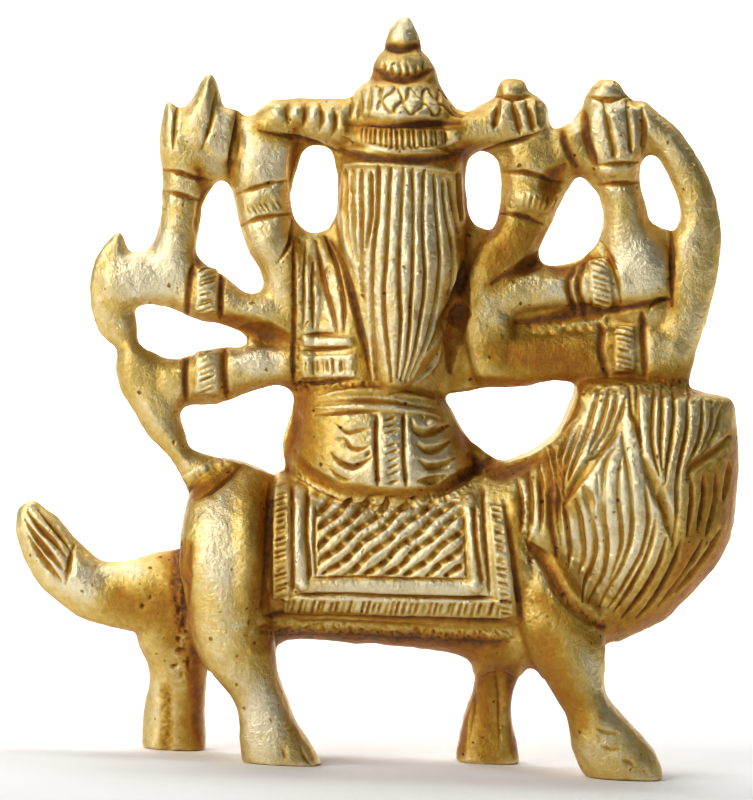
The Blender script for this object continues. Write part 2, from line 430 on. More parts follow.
crownTiers = [(1.0, 0.4, 72.6, 5.0, 4.6), (1.0, 0.4, 73.2, 5.4, 5.0), (0.95, 0.4, 73.8, 6.4, 5.9), (0.95, 0.4, 74.6, 7.0, 6.5),
              (0.95, 0.4, 75.6, 7.1, 6.6), (0.95, 0.4, 76.6, 7.0, 6.5), (0.9, 0.4, 77.2, 6.7, 6.1), (0.9, 0.4, 77.7, 6.4, 5.8),
              (0.9, 0.4, 78.2, 6.8, 6.2), (0.9, 0.4, 79.0, 7.0, 6.4), (0.75, 0.4, 80.0, 6.4, 5.9), (0.7, 0.4, 81.0, 5.6, 5.2),
              (0.75, 0.4, 81.9, 4.9, 4.6), (0.95, 0.4, 82.5, 4.2, 3.9), (1.0, 0.4, 83.0, 4.0, 3.7), (0.95, 0.4, 84.0, 3.75, 3.5),
              (0.8, 0.4, 85.0, 3.3, 3.1), (0.7, 0.4, 85.7, 2.9, 2.7), (0.65, 0.4, 86.1, 2.3, 2.1), (0.6, 0.4, 86.6, 2.2, 2.0),
              (0.6, 0.4, 87.4, 2.2, 2.0), (0.6, 0.4, 88.4, 1.85, 1.7), (0.65, 0.4, 89.4, 1.2, 1.15), (0.7, 0.4, 90.2, 0.5, 0.5)]


def grown(stations, by):
    return [(x, y, z, w + by, d + by) for x, y, z, w, d in stations]


def bodyForms():
    shells = [limb(line, lionPower.get(name, 2), startCap=lionCaps.get(name, (0, 0.3))[0], endCap=lionCaps.get(name, (0, 0.3))[1],
                   upright=name in lionUpright, sides=64, rows=64) for name, line in lionForms.items()]
    shells += [limb(line, startCap=figureCaps.get(name, (0, 0.3))[0], endCap=figureCaps.get(name, (0, 0.3))[1],
                    upright=name in figureUpright, sides=64, rows=64) for name, line in figureForms.items()]
    shells += [ball(*values) for values in lionBalls + figureBalls]
    shells.append(limb(crownTiers, upright=True, sides=72, rows=90, endCap=0.4))
    body = meshOf("body", shells)
    belly = pillow(fuse(slab("belly", lionBelly, -7, 7), 0.3), [lionBelly], 0, 4.5, 0.25)
    body = fuse(gather("body", [body, belly]), 0.26)
    ground = slab("ground", [(-60, -20), (60, -20), (60, grid["origin"][2]), (-60, grid["origin"][2])], -40, 40, smooth=1)
    cut(body, gapCutters + [ground])
    bpy.data.objects.remove(ground)
    return body


# The saddle cloth: the barrel grown by the cloth's thickness, trimmed to the cloth's outline.
def saddleCloth():
    piece = meshOf("cloth", [limb(grown(lionForms["barrel"], cloth["thick"]), sides=96, rows=80, startCap=0.35)])
    fuse(piece, 0.26)
    left, right, low, high, skew = (cloth[k] for k in ("left", "right", "low", "high", "skew"))
    trim = slab("clothOutline", [(left, low), (right + skew, low), (right - skew, high), (left, high)], -30, 30, smooth=1)
    cut(piece, [trim], "INTERSECT")
    bpy.data.objects.remove(trim)
    return piece


body = bodyForms()
print("body", len(body.data.vertices))
durga = gather("durgaCasting", [body, saddleCloth()] + arms)
for cutter in gapCutters:
    bpy.data.objects.remove(cutter)
fuse(durga, casting["voxel"])
print("fused", len(durga.data.vertices))
soften = durga.modifiers.new("soften", "SMOOTH")
soften.factor = 0.5
soften.iterations = casting["fillet"]
settle(durga)


# The unevenness of a hand-made mould: a sum of sine waves along seeded directions.
def uneven(points, length, height, waves=14, seed=3):
    pick = np.random.default_rng(seed)
    way = pick.normal(size=(waves, 3))
    way *= (2 * math.pi / length * pick.uniform(0.6, 1.6, waves) / np.linalg.norm(way, axis=1))[:, None]
    phase = pick.uniform(0, 2 * math.pi, waves)
    return height * np.sin(points @ way.T + phase).sum(1) / math.sqrt(waves)


# Carving. A line is a smooth curve through points on the sheet, and its cut at a point is
# depth * (1 - (distance / half width)^2), narrower towards the line's ends.
class Carving:
    def __init__(self, points, normals):
        self.sheet = onSheet(points)
        self.height = np.zeros(len(points))  # how far the surface moves out
        self.groove = np.zeros(len(points))  # how deep in a cut a point lies
        self.patina = np.zeros(len(points))  # where the patina was never rubbed off
        self.rubbed = np.zeros(len(points))  # where the metal is rubbed most
        self.near = ease((-normals[:, 1] - 0.02) / 0.3)  # 1 on surfaces that face the camera's side
        self.both = ease((np.abs(normals[:, 1]) - 0.02) / 0.3)
        self.front = self.near * ((points[:, 1] < 4) | (points[:, 2] < 22))
        # the far side of the lion, without its face and the goddess's legs
        face = np.hypot(points[:, 0] - 33, points[:, 2] - 33) - 8
        self.far = ease((normals[:, 1] - 0.02) / 0.3) * (points[:, 1] > -2) * (points[:, 1] < 10.4) * ease(face) * (points[:, 2] < 48)

    def inside(self, low, high):
        s = self.sheet
        return np.flatnonzero((s[:, 0] > low[0]) & (s[:, 0] < high[0]) & (s[:, 1] > low[1]) & (s[:, 1] < high[1]))

    def lines(self, lines, width, depth, ends=(0.35, 0.35), tip=0.3, side="front", patina=1.0, power=1.0):
        fade = getattr(self, side)
        for line in lines:
            path = smoothRows(line, 2 if len(line) == 2 else 4 * len(line))
            near = self.inside(path.min(0) - width, path.max(0) + width)
            if not len(near):
                continue
            far, share = fromLine(self.sheet[near], path)
            half = width / 2 * np.interp(share, [0, ends[0], 1 - ends[1], 1], [tip, 1, 1, tip])
            deep = np.clip(1 - (far / half) ** 2, 0, 1) ** power * np.clip(half / width * 2, 0.4, 1)
            self.height[near] -= depth * deep * fade[near]
            if depth > 0:
                self.groove[near] = np.maximum(self.groove[near], patina * deep * fade[near])

    # Places in a four-cornered field, as shares of its two sides from -0.5 to 0.5, and its sides' lengths.
    def field(self, corners):
        c = np.asarray(corners, float)
        alongS = ((c[1] - c[0]) + (c[2] - c[3])) / 2
        alongT = ((c[3] - c[0]) + (c[2] - c[1])) / 2
        near = self.inside(c.min(0) - 0.5, c.max(0) + 0.5)
        s, t = ((self.sheet[near] - c.mean(0)) @ np.linalg.inv(np.stack([alongS, alongT]))).T
        return near, s, t, np.linalg.norm(alongS), np.linalg.norm(alongT)

    # A raised field with soft edges, or a rounded band over its second side, crossed by cuts that
    # slant by some share of their spacing and differ a little in place, length and depth.
    def patch(self, corners, raised=0.0, cuts=0, depth=0.2, share=0.55, edge=0.25, rim=0.12, slant=0.0, domed=False,
              side="both", patina=0.8):
        near, s, t, longS, longT = self.field(corners)
        level = ease((0.5 - np.abs(s)) * longS / edge + 0.5)
        level *= np.sqrt(np.clip(1 - (2 * t) ** 2, 0, 1)) if domed else ease((0.5 - np.abs(t)) * longT / edge + 0.5)
        fade = getattr(self, side)[near]
        self.height[near] += raised * level * fade
        if cuts:
            pick = np.random.default_rng(cuts + len(near))
            place, force, long = pick.uniform(-0.28, 0.28, cuts), pick.uniform(0.35, 1, cuts), pick.uniform(0.6, 1, cuts)
            count = (s + 0.5) * cuts - slant * t
            which = np.clip(count.astype(int), 0, cuts - 1)
            wave = np.abs(count % 1 - 0.5 + place[which]) * 2 / share
            within = ease(((0.5 - rim) * long[which] - np.abs(t)) * longT / 0.6 + 0.5) * (np.abs(s) < 0.5) * force[which]
            deep = np.clip(1 - wave ** 2, 0, 1) * within
            self.height[near] -= depth * deep * fade
            self.groove[near] = np.maximum(self.groove[near], patina * deep * fade)

    # Slanting ribs with a stair of small pits between them: depth * channel * (share of the way along a step).
    def lattice(self, corners, turn, rib, step, depth):
        near, s, t, longS, longT = self.field(corners)
        along = np.array([math.cos(turn), math.sin(turn)])
        a = self.sheet[near] @ np.array([-along[1], along[0]]) / rib
        pick = np.random.default_rng(5).uniform(0, 1, 200)
        b = self.sheet[near] @ along / step + pick[a.astype(int) % 200]
        a += 0.09 * np.sin(b * 2.1 + 5 * pick[a.astype(int) % 200])
        channel = ease((0.66 - np.abs(a % 1 - 0.5) * 2) / 0.5)
        stair = 0.35 + 0.65 * (b % 1) * ease((1 - b % 1) / 0.15) * (0.6 + 0.4 * pick[(b * 3).astype(int) % 200])
        level = ease((0.5 - np.abs(s)) * longS / 0.4) * ease((0.5 - np.abs(t)) * longT / 0.4) * self.front[near]
        self.height[near] -= depth * channel * stair * level
        self.groove[near] = np.maximum(self.groove[near], 0.5 * channel * stair * level)

    # Where hands have rubbed the metal pale, over ovals of the sheet.
    def rub(self, places):
        for x, z, rx, rz in places:
            near = self.inside((x - rx, z - rz), (x + rx, z + rz))
            off = (self.sheet[near] - (x, z)) / (rx, rz)
            self.rubbed[near] = np.maximum(self.rubbed[near], np.clip(1.4 - 1.4 * (off ** 2).sum(1), 0, 1) * self.both[near])

    # A pitted strip: the surface sinks by depth * |sum of sine waves| near a line.
    def pitted(self, lines, width, depth, waves):
        for line in lines:
            path = smoothRows(line, 3 * len(line))
            near = self.inside(path.min(0) - width, path.max(0) + width)
            if len(near):
                far, share = fromLine(self.sheet[near], path)
                self.height[near] -= depth * ease(1.3 - far * 2 / width) * np.abs(waves[near]) * self.front[near]

    # Patina alone, along a line, strongest in its middle.
    def stain(self, lines, width, patina, side="front"):
        fade = getattr(self, side)
        for line in lines:
            path = smoothRows(line, 3 * len(line))
            near = self.inside(path.min(0) - width, path.max(0) + width)
            if len(near):
                far, share = fromLine(self.sheet[near], path)
                deep = ease(1 - far * 2 / width) * fade[near]
                self.patina[near] = np.maximum(self.patina[near], patina * deep)

    # A smooth change of height over an oval of the sheet: height * (1 - distance^2)^2.
    def bumps(self, places, height, side="front", patina=0.0):
        for x, z, rx, rz in places:
            near = self.inside((x - rx, z - rz), (x + rx, z + rz))
            off = (self.sheet[near] - (x, z)) / (rx, rz)
            part = np.clip(1 - (off ** 2).sum(1), 0, 1) ** 2 * getattr(self, side)[near]
            self.height[near] += height * part
            if patina:
                self.groove[near] = np.maximum(self.groove[near], patina * part)


hair = {
    "width": 0.62, "depth": 0.5,
    "grooves": [
        [(-6.2, 72.1),(-6.1, 69.7),(-6.2, 67.1),(-6.0, 64.2),(-5.4, 61.8)],
        [(-5.4, 72.1),(-5.4, 69.1),(-5.3, 66.3),(-5.3, 64.2),(-4.9, 61.1)],
        [(-4.3, 72.1),(-4.3, 68.5),(-4.3, 64.3),(-4.5, 61.1),(-4.2, 57.5)],
        [(-3.2, 71.8),(-3.1, 68.5),(-3.3, 65.5),(-3.8, 62.8)],
        [(-2.3, 72.6),(-2.3, 69.7),(-2.5, 66.1),(-2.9, 62.5),(-3.1, 58.9),(-3.1, 55.4),(-2.9, 51.8),(-2.5, 47.0)],
        [(-0.8, 72.3),(-1.0, 69.1),(-1.2, 64.9),(-1.4, 61.1),(-1.7, 57.8),(-1.6, 54.2),(-1.2, 50.8),(-0.7, 46.8)],
        [(0.7, 72.3),(0.6, 69.7),(0.4, 66.1),(0.2, 62.5),(0.2, 58.4),(0.4, 54.4),(0.2, 51.2),(0.0, 47.3)],
        [(1.8, 72.3),(1.9, 69.1),(1.9, 64.3),(1.8, 59.5),(1.6, 55.6),(1.4, 52.4),(1.1, 49.6),(0.5, 47.0)],
        [(3.2, 72.1),(3.1, 69.1),(3.1, 64.3),(3.3, 60.1),(3.2, 56.8),(2.7, 53.6),(2.1, 50.4),(1.1, 46.8)],
        [(4.4, 71.5),(4.7, 67.3),(5.0, 63.7),(5.1, 60.4),(4.8, 57.2),(4.1, 53.9),(3.2, 50.8),(1.7, 47.3)],
        [(5.5, 70.9),(5.8, 66.7),(6.4, 64.0),(6.7, 61.1),(6.6, 58.7),(6.0, 57.3)],
        [(6.3, 70.9),(6.6, 67.9),(7.2, 65.2),(7.5, 63.7)],
        [(7.2, 71.8),(7.3, 69.1),(7.6, 66.1)],
    ],
    "rightEdge": [[(7.8, 61.9),(7.5, 58.9),(6.8, 56.6),(5.6, 54.4),(4.7, 52.4),(3.7, 50.6)]],
    "lowerLock": [[(5.3, 51.6),(4.8, 49.6),(3.8, 48.1),(2.0, 46.5)]],
    "leftEdge": [[(-7.9, 63.7),(-6.3, 60.4),(-5.3, 56.8),(-4.5, 53.5),(-3.7, 50.4),(-3.1, 46.8)]],
    "topEdge": [[(-6.3, 72.7),(-3.8, 72.8),(-0.2, 72.8),(3.3, 72.4),(6.6, 71.8)]],
    "underCrown": [[(-6.8, 74.5),(-4.4, 73.7),(-1.4, 73.3),(1.6, 73.2),(4.5, 73.5),(7.8, 74.5)]],
    "hollow": [[(7.9, 61.1),(7.8, 58.4),(7.3, 55.4),(6.6, 52.4),(6.3, 48.0)]],
}
crownCuts = {
    "bandCuts": 62, "zigzags": 15,
    "undercut": [[(-3.5, 77.2),(0.4, 77.3),(3.9, 77.6),(7.5, 77.6)]],
    "notches": [[(-1.6, 85.0),(-1.6, 84.0)], [(-0.6, 84.7),(-0.7, 83.5)], [(0.4, 84.7),(0.4, 83.4)], [(1.3, 84.7),(1.4, 83.4)], [(2.3, 84.8),(2.4, 83.7)], [(3.2, 85.1),(3.2, 84.1)]],
    "recess": [[(-2.5, 84.0),(-1.1, 83.3),(0.6, 83.1),(2.5, 83.3),(4.2, 84.0)]],
    "budBand": [[(-1.3, 86.8),(0.6, 86.5),(2.5, 87.0)]],
    "flutes": [[(-5.4, 80.7),(-5.6, 78.3)], [(-4.3, 81.4),(-4.5, 78.2)], [(-3.2, 82.0),(-3.5, 78.3)]],
}
sash = {
    "grooves": [
        [(-10.0, 61.1),(-10.1, 57.8),(-10.0, 53.2)],
        [(-9.7, 63.7),(-9.1, 60.6),(-8.4, 57.2),(-7.6, 54.4),(-7.2, 52.7)],
        [(-8.6, 64.2),(-7.6, 61.6),(-6.8, 58.4),(-6.4, 55.4),(-6.4, 52.7)],
    ],
    "outline": [
        [(-10.9, 63.7),(-11.1, 58.9),(-11.2, 52.7)],
        [(-11.3, 52.4),(-9.2, 52.5),(-7.0, 52.5)],
        [(-11.3, 50.6),(-8.6, 50.7),(-5.4, 50.8)],
        [(-11.6, 46.4),(-8.0, 46.9),(-4.4, 47.1)],
    ],
    "strip": [[(-12.3, 63.7),(-12.3, 56.6),(-12.4, 46.4)]],
    "band": [(-11.2, 51.0),(-5.4, 51.1),(-5.4, 52.1),(-11.2, 52.0)],
    "fringe": [(-11.2, 47.3),(-4.9, 47.4),(-5.1, 50.0),(-11.2, 49.9)],
}
hips = {
    "ridges": [
        [(-9.4, 45.0),(-6.2, 45.7),(-2.0, 45.7),(2.1, 45.1),(4.5, 44.4)],
        [(-9.7, 43.7),(-5.6, 43.8),(-1.8, 43.7),(2.7, 43.3),(5.1, 42.5)],
    ],
    "grooves": [
        [(-9.4, 44.4),(-6.2, 44.6),(-2.3, 44.6),(2.1, 44.0),(4.9, 43.4)],
        [(-9.8, 42.8),(-6.2, 43.1),(-2.3, 43.3)],
    ],
    "stripSides": [
        [(-2.5, 42.8),(-2.6, 39.9),(-2.5, 37.2),(-2.4, 34.4)],
        [(0.8, 43.0),(0.8, 39.9),(0.8, 37.2),(1.1, 34.4)],
    ],
    "stripCuts": [
        [(-1.7, 42.1),(0.1, 42.8)], [(-1.7, 41.3),(0.2, 42.0)], [(-1.6, 40.6),(0.2, 41.2)], [(-1.6, 39.0),(0.4, 39.7)],
        [(-1.6, 38.1),(0.5, 38.9)], [(-1.4, 37.2),(0.4, 37.9)], [(-1.4, 36.4),(0.6, 37.1)], [(-1.3, 35.6),(0.6, 36.3)],
        [(-1.4, 34.6),(0.4, 35.1)],
    ],
    "shallow": [
        [(-7.2, 41.8),(-6.1, 40.8),(-4.4, 41.1),(-3.0, 41.4)],
        [(-7.5, 39.9),(-6.3, 40.1),(-5.6, 39.0),(-4.2, 38.8),(-2.9, 39.6)],
        [(-8.1, 36.4),(-6.9, 35.3),(-5.4, 35.0)],
        [(-3.7, 37.8),(-3.3, 38.7)],
    ],
    "deep": [
        [(-7.9, 38.3),(-6.9, 37.2),(-5.4, 36.6),(-4.1, 37.1),(-3.0, 37.8)],
    ],
    "pleats": [
        [(1.7, 42.4),(2.1, 41.2),(3.5, 40.7),(5.1, 41.1),(6.1, 41.6)],
        [(2.3, 39.5),(3.5, 38.7),(5.0, 38.8),(6.3, 39.7)],
        [(2.7, 37.4),(3.9, 36.6),(5.5, 36.8),(6.8, 37.7)],
        [(2.5, 35.0),(4.2, 35.0),(5.8, 35.6)],
    ],
    "curl": [(4.1, 41.8, 0.72, 0.95)],
    "rimGroove": [[(-12.5, 38.7),(-11.2, 36.5),(-8.6, 34.7),(-4.4, 33.7),(0.4, 33.3),(4.9, 34.0),(8.1, 35.7),(11.3, 37.7)]],
    "rimLip": [[(-11.6, 35.3),(-8.0, 33.4),(-3.8, 32.5),(0.6, 32.2),(5.1, 32.9),(8.7, 34.6)]],
}
saddle = {
    "outerGroove": [
        [(-15.2, 34.8),(-15.5, 27.9),(-16.1, 19.3)],
        [(-16.1, 18.9),(-8.0, 19.1),(0.4, 18.6),(7.5, 18.4),(13.7, 18.1)],
        [(12.8, 32.7),(13.7, 26.7),(14.4, 20.8),(14.6, 17.7)],
    ],
    "borders": [
        [(-12.9, 34.6),(-12.9, 20.8),(-14.9, 20.8),(-14.7, 34.6)],
        [(13.8, 18.9),(12.6, 32.1),(11.0, 31.9),(12.2, 18.6)],
        [(-13.5, 19.1),(12.3, 18.6),(12.3, 20.8),(-13.5, 21.1)],
    ],
    "borderCuts": [20, 18, 35],
    "frame": [[(-11.6, 33.9),(-11.6, 27.9),(-11.5, 22.7)], [(-11.1, 22.3),(-4.4, 22.3),(2.7, 22.2),(9.2, 22.0)], [(9.5, 22.4),(9.2, 27.9),(8.6, 32.7)]],
    "frameGrooves": [
        [(-12.5, 34.4),(-12.5, 27.9),(-12.5, 21.6)],
        [(-12.1, 21.4),(-6.8, 21.5),(0.4, 21.2),(7.5, 21.0),(11.3, 21.0)],
        [(10.1, 34.4),(10.4, 29.1),(11.0, 21.2)],
    ],
    "innerGrooves": [
        [(-10.7, 33.7),(-10.9, 29.1),(-10.6, 24.8),(-10.5, 23.2)],
        [(9.2, 32.1),(9.4, 27.9),(10.1, 22.6)],
    ],
    "fieldEdge": [
        [(-9.7, 32.1),(-9.9, 27.9),(-9.7, 23.6)],
        [(-10.0, 23.4),(-4.4, 23.5),(1.6, 23.3),(8.4, 23.2)],
        [(7.9, 30.9),(8.0, 27.3),(8.2, 23.4)],
    ],
    "field": [(-9.7, 23.5),(8.1, 23.4),(7.9, 32.7),(-9.7, 33.4)],
    "ribs": 1.62, "steps": 1.85, "turn": 41.0,
    "hem": [[(-16.1, 17.4),(-8.0, 17.5),(0.4, 17.1),(7.5, 16.7),(13.7, 16.5)]],
}
mane = {
    "width": 0.78, "depth": 0.5,
    "grooves": [
        [(24.1, 46.1),(23.3, 43.2),(22.7, 41.1),(21.8, 38.9),(21.0, 37.0),(20.4, 35.1)],
        [(25.3, 45.9),(24.5, 42.5),(23.7, 40.3),(22.8, 38.4)],
        [(26.3, 45.3),(25.2, 41.5),(24.2, 39.9),(23.2, 38.4)],
        [(27.3, 44.9),(25.9, 41.1),(24.7, 39.3),(23.5, 38.1),(22.3, 37.5)],
        [(21.8, 41.6),(21.1, 39.9),(20.4, 37.9),(19.8, 36.0),(19.7, 34.6)],
        [(20.6, 41.3),(19.8, 39.4),(19.3, 37.7),(19.5, 35.8),(19.8, 34.1)],
        [(19.7, 32.2),(20.2, 30.3),(20.4, 28.4),(20.6, 26.5),(20.5, 24.8)],
        [(21.2, 32.7),(21.8, 30.3),(22.1, 27.9),(22.1, 25.8),(21.7, 23.9)],
        [(22.6, 32.0),(23.2, 30.1),(23.5, 28.2),(23.5, 26.5),(23.0, 24.6),(22.4, 22.7),(22.1, 20.5)],
        [(23.9, 35.8),(24.0, 33.3),(24.3, 30.9),(24.9, 28.5),(24.9, 26.1),(24.5, 23.9),(23.6, 22.0),(22.8, 20.5)],
        [(26.1, 38.9),(25.1, 37.8),(24.6, 36.0),(24.5, 33.9),(24.6, 31.5),(24.9, 29.1)],
        [(26.8, 37.7),(26.4, 35.7),(26.3, 33.1),(26.6, 30.3),(26.7, 27.9),(26.5, 26.3),(25.9, 24.6),(25.2, 22.7)],
        [(26.8, 41.3),(27.1, 38.7),(27.6, 35.8),(27.9, 32.7),(28.0, 30.3),(27.8, 27.9),(27.2, 26.0),(26.3, 23.9),(24.9, 21.7),(24.2, 20.0)],
        [(29.5, 35.3),(29.8, 32.7),(30.0, 30.3),(29.6, 27.9),(29.0, 26.0),(27.9, 24.0),(26.5, 21.7),(25.2, 19.8)],
        [(30.8, 30.3),(30.4, 27.9),(29.6, 25.5),(28.4, 23.2),(27.1, 21.1),(25.8, 19.3)],
        [(32.1, 28.2),(31.4, 25.5),(30.2, 23.2),(28.6, 20.8),(26.8, 18.6)],
        [(33.8, 27.9),(33.1, 25.3),(31.7, 22.7),(30.2, 20.4),(28.5, 18.6)],
        [(27.7, 46.3),(28.0, 43.2),(28.6, 41.1),(29.1, 39.1)],
        [(28.6, 46.3),(28.6, 42.5),(28.9, 40.1),(29.4, 38.2)],
        [(30.7, 46.4),(30.4, 42.2),(30.4, 39.9),(30.8, 37.7),(31.3, 35.6)],
        [(31.6, 46.4),(31.6, 43.0),(31.5, 40.6),(31.5, 38.4),(31.6, 36.3)],
        [(32.8, 46.5),(33.1, 43.7),(32.9, 41.3),(32.6, 38.9),(32.2, 36.8),(32.0, 34.6)],
        [(34.7, 46.3),(34.7, 42.2),(34.4, 39.9),(33.9, 37.7),(33.5, 35.3),(33.4, 32.7),(33.3, 30.1),(32.9, 27.2)],
        [(36.4, 44.4),(36.4, 41.6),(36.0, 39.6),(35.3, 38.1),(34.5, 36.6)],
        [(37.6, 44.4),(37.6, 41.8),(37.0, 39.9),(36.2, 38.4)],
        [(38.7, 43.7),(38.3, 41.3),(37.5, 39.6),(36.6, 38.3)],
        [(35.1, 35.6),(35.2, 33.4),(35.0, 31.0),(34.5, 28.4)],
        [(36.6, 35.6),(36.6, 33.4),(36.3, 31.3),(35.8, 29.1)],
        [(38.1, 35.8),(38.1, 33.4),(37.6, 30.9),(36.8, 28.4)],
        [(39.6, 37.2),(39.4, 35.1),(39.0, 32.7)],
        [(38.5, 29.1),(37.1, 26.5),(35.2, 23.9),(33.3, 21.7)], [(36.4, 27.9),(35.2, 25.3),(33.3, 22.4),(31.1, 20.0)],
        [(18.0, 39.9),(18.5, 37.7),(19.2, 35.3),(19.9, 32.9)], [(16.6, 37.2),(17.1, 34.5),(17.2, 31.7),(17.1, 28.9)],
        [(15.5, 36.3),(15.9, 33.7),(15.9, 30.9),(15.6, 27.9)], [(18.6, 36.3),(19.1, 33.3),(19.3, 30.3),(19.5, 27.3)],
        [(14.4, 35.1),(14.8, 32.1),(14.8, 29.1)],
    ],
    "valleys": [
        [(26.7, 41.8),(25.7, 40.1),(24.2, 38.8),(22.8, 36.9),(21.4, 34.8),(19.8, 32.1)],
        [(29.1, 38.4),(30.2, 35.6),(31.3, 32.9),(32.3, 30.5)],
        [(39.6, 40.3),(38.1, 38.7),(36.4, 37.6),(35.2, 36.6),(34.6, 35.1)],
        [(31.7, 34.6),(31.7, 32.7),(32.3, 30.5),(32.8, 27.9)],
        [(17.4, 38.9),(17.9, 35.7),(18.5, 32.1),(18.6, 29.1),(19.0, 26.1)],
        [(22.2, 34.4),(22.9, 32.7),(23.3, 30.8)],
    ],
    "edge": [[(15.4, 27.8),(16.7, 26.5),(18.0, 24.9),(18.9, 22.9),(20.2, 20.9),(22.1, 19.2),(24.8, 17.5)]],
}
lion = {
    "flank": [(-17.4, 27.3, 2.63, 10.50)],
    "haunch": [[(-16.0, 33.7),(-16.1, 27.9),(-16.6, 23.2),(-17.1, 19.3),(-18.0, 16.5)]],
    "legCrease": [[(-24.7, 27.3),(-25.1, 23.2),(-25.4, 19.6),(-25.4, 16.6)]],
    "holes": [(-25.9, 25.9, 0.36, 0.95),(-25.5, 22.2, 0.48, 1.43),(-26.1, 19.5, 0.36, 0.72),(-25.7, 17.7, 0.36, 0.48),(-25.8, 14.6, 0.84, 0.60),(-26.6, 12.8, 0.60, 0.36),(-24.9, 13.1, 0.36, 1.07),(-30.4, 20.0, 0.36, 0.48),(-29.5, 21.1, 0.24, 0.36)],
    "tail": [
        [(-44.0, 31.3),(-42.6, 29.4),(-40.9, 27.7),(-39.5, 26.0)], [(-44.3, 30.1),(-42.8, 27.9),(-41.2, 26.0),(-39.7, 24.3)], [(-44.0, 28.4),(-42.6, 26.0),(-41.2, 24.3),(-40.0, 22.9)],
        [(-42.8, 31.5),(-41.2, 29.8),(-39.7, 27.9),(-38.8, 26.5)],
        [(-38.5, 27.3),(-39.0, 25.5),(-39.5, 22.7)],
    ],
    "toes": [
        [(23.5, 5.5),(24.9, 5.0),(26.6, 4.9)], [(24.2, 3.5),(25.4, 2.9),(26.8, 3.0)], [(26.8, 1.7),(27.8, 1.4),(28.3, 0.7)],
        [(-11.8, 3.8),(-11.2, 2.3),(-10.1, 0.7)], [(-13.8, 3.2),(-13.5, 2.4),(-13.2, 1.4)],
        [(9.2, 12.6),(9.2, 8.8),(8.6, 4.1)], [(11.7, 12.6),(12.1, 8.8),(12.3, 2.9)],
    ],
}
leftCuts = {
    "creases": [
        [(-19.2, 69.2),(-16.8, 70.0),(-14.9, 70.5),(-13.1, 70.8)], [(-18.6, 65.4),(-16.8, 66.2),(-14.9, 66.6),(-12.9, 66.8)],
        [(-26.0, 80.4),(-26.5, 77.6),(-26.7, 74.5)], [(-21.6, 81.4),(-22.1, 78.0),(-23.3, 74.6)],
        [(-28.0, 72.1),(-26.1, 71.8),(-24.2, 71.2),(-22.1, 70.8)], [(-28.0, 69.6),(-26.1, 69.2),(-24.2, 68.6),(-23.2, 68.3)],
        [(-19.1, 79.2),(-19.3, 76.6),(-19.9, 73.5),(-20.0, 71.1)],
        [(-24.3, 32.7),(-21.6, 34.4),(-18.5, 37.0)],
        [(-16.6, 76.8),(-14.6, 76.4),(-11.6, 75.8),(-8.2, 74.7),(-5.8, 73.7)],
        [(-12.6, 66.1),(-12.8, 63.5),(-14.2, 61.1)],
    ],
    "fist": [
        [(-13.0, 80.3),(-13.2, 79.0),(-12.9, 77.6)], [(-11.0, 80.2),(-11.0, 78.8),(-11.2, 77.2)], [(-9.3, 80.0),(-8.9, 78.4),(-9.3, 76.7)], [(-7.6, 79.5),(-7.3, 77.8),(-7.8, 76.1)],
    ],
    "knuckles": [(-14.3, 78.9, 1.43, 1.67),(-12.1, 79.0, 1.31, 1.67),(-10.0, 78.6, 1.19, 1.79),(-8.2, 77.9, 1.07, 1.79),(-6.7, 77.2, 0.95, 1.67)],
    "elbow": [(-15.4, 63.7, 2.63, 3.34),(-22.9, 63.7, 1.91, 2.15)],
    "armCuts": [(-17.9, 66.3),(-13.7, 67.3),(-14.1, 68.9),(-18.0, 67.8)],
    "middleBangle": [(-21.4, 55.1),(-21.4, 60.1),(-24.0, 60.4),(-24.2, 55.4)],
    "lowerBangle": [(-21.1, 45.6),(-21.2, 50.4),(-24.1, 50.1),(-24.2, 45.6)],
    "foot": [(-25.2, 34.1),(-19.2, 37.2),(-20.2, 38.8),(-25.9, 35.3)],
    "bands": [[(-24.3, 60.9),(-24.9, 57.8),(-25.1, 54.4)], [(-20.8, 59.9),(-21.0, 57.0),(-21.2, 54.2)], [(-25.1, 50.4),(-25.3, 47.7),(-25.2, 44.6)], [(-20.5, 50.8),(-20.6, 48.0),(-20.3, 44.9)]],
}
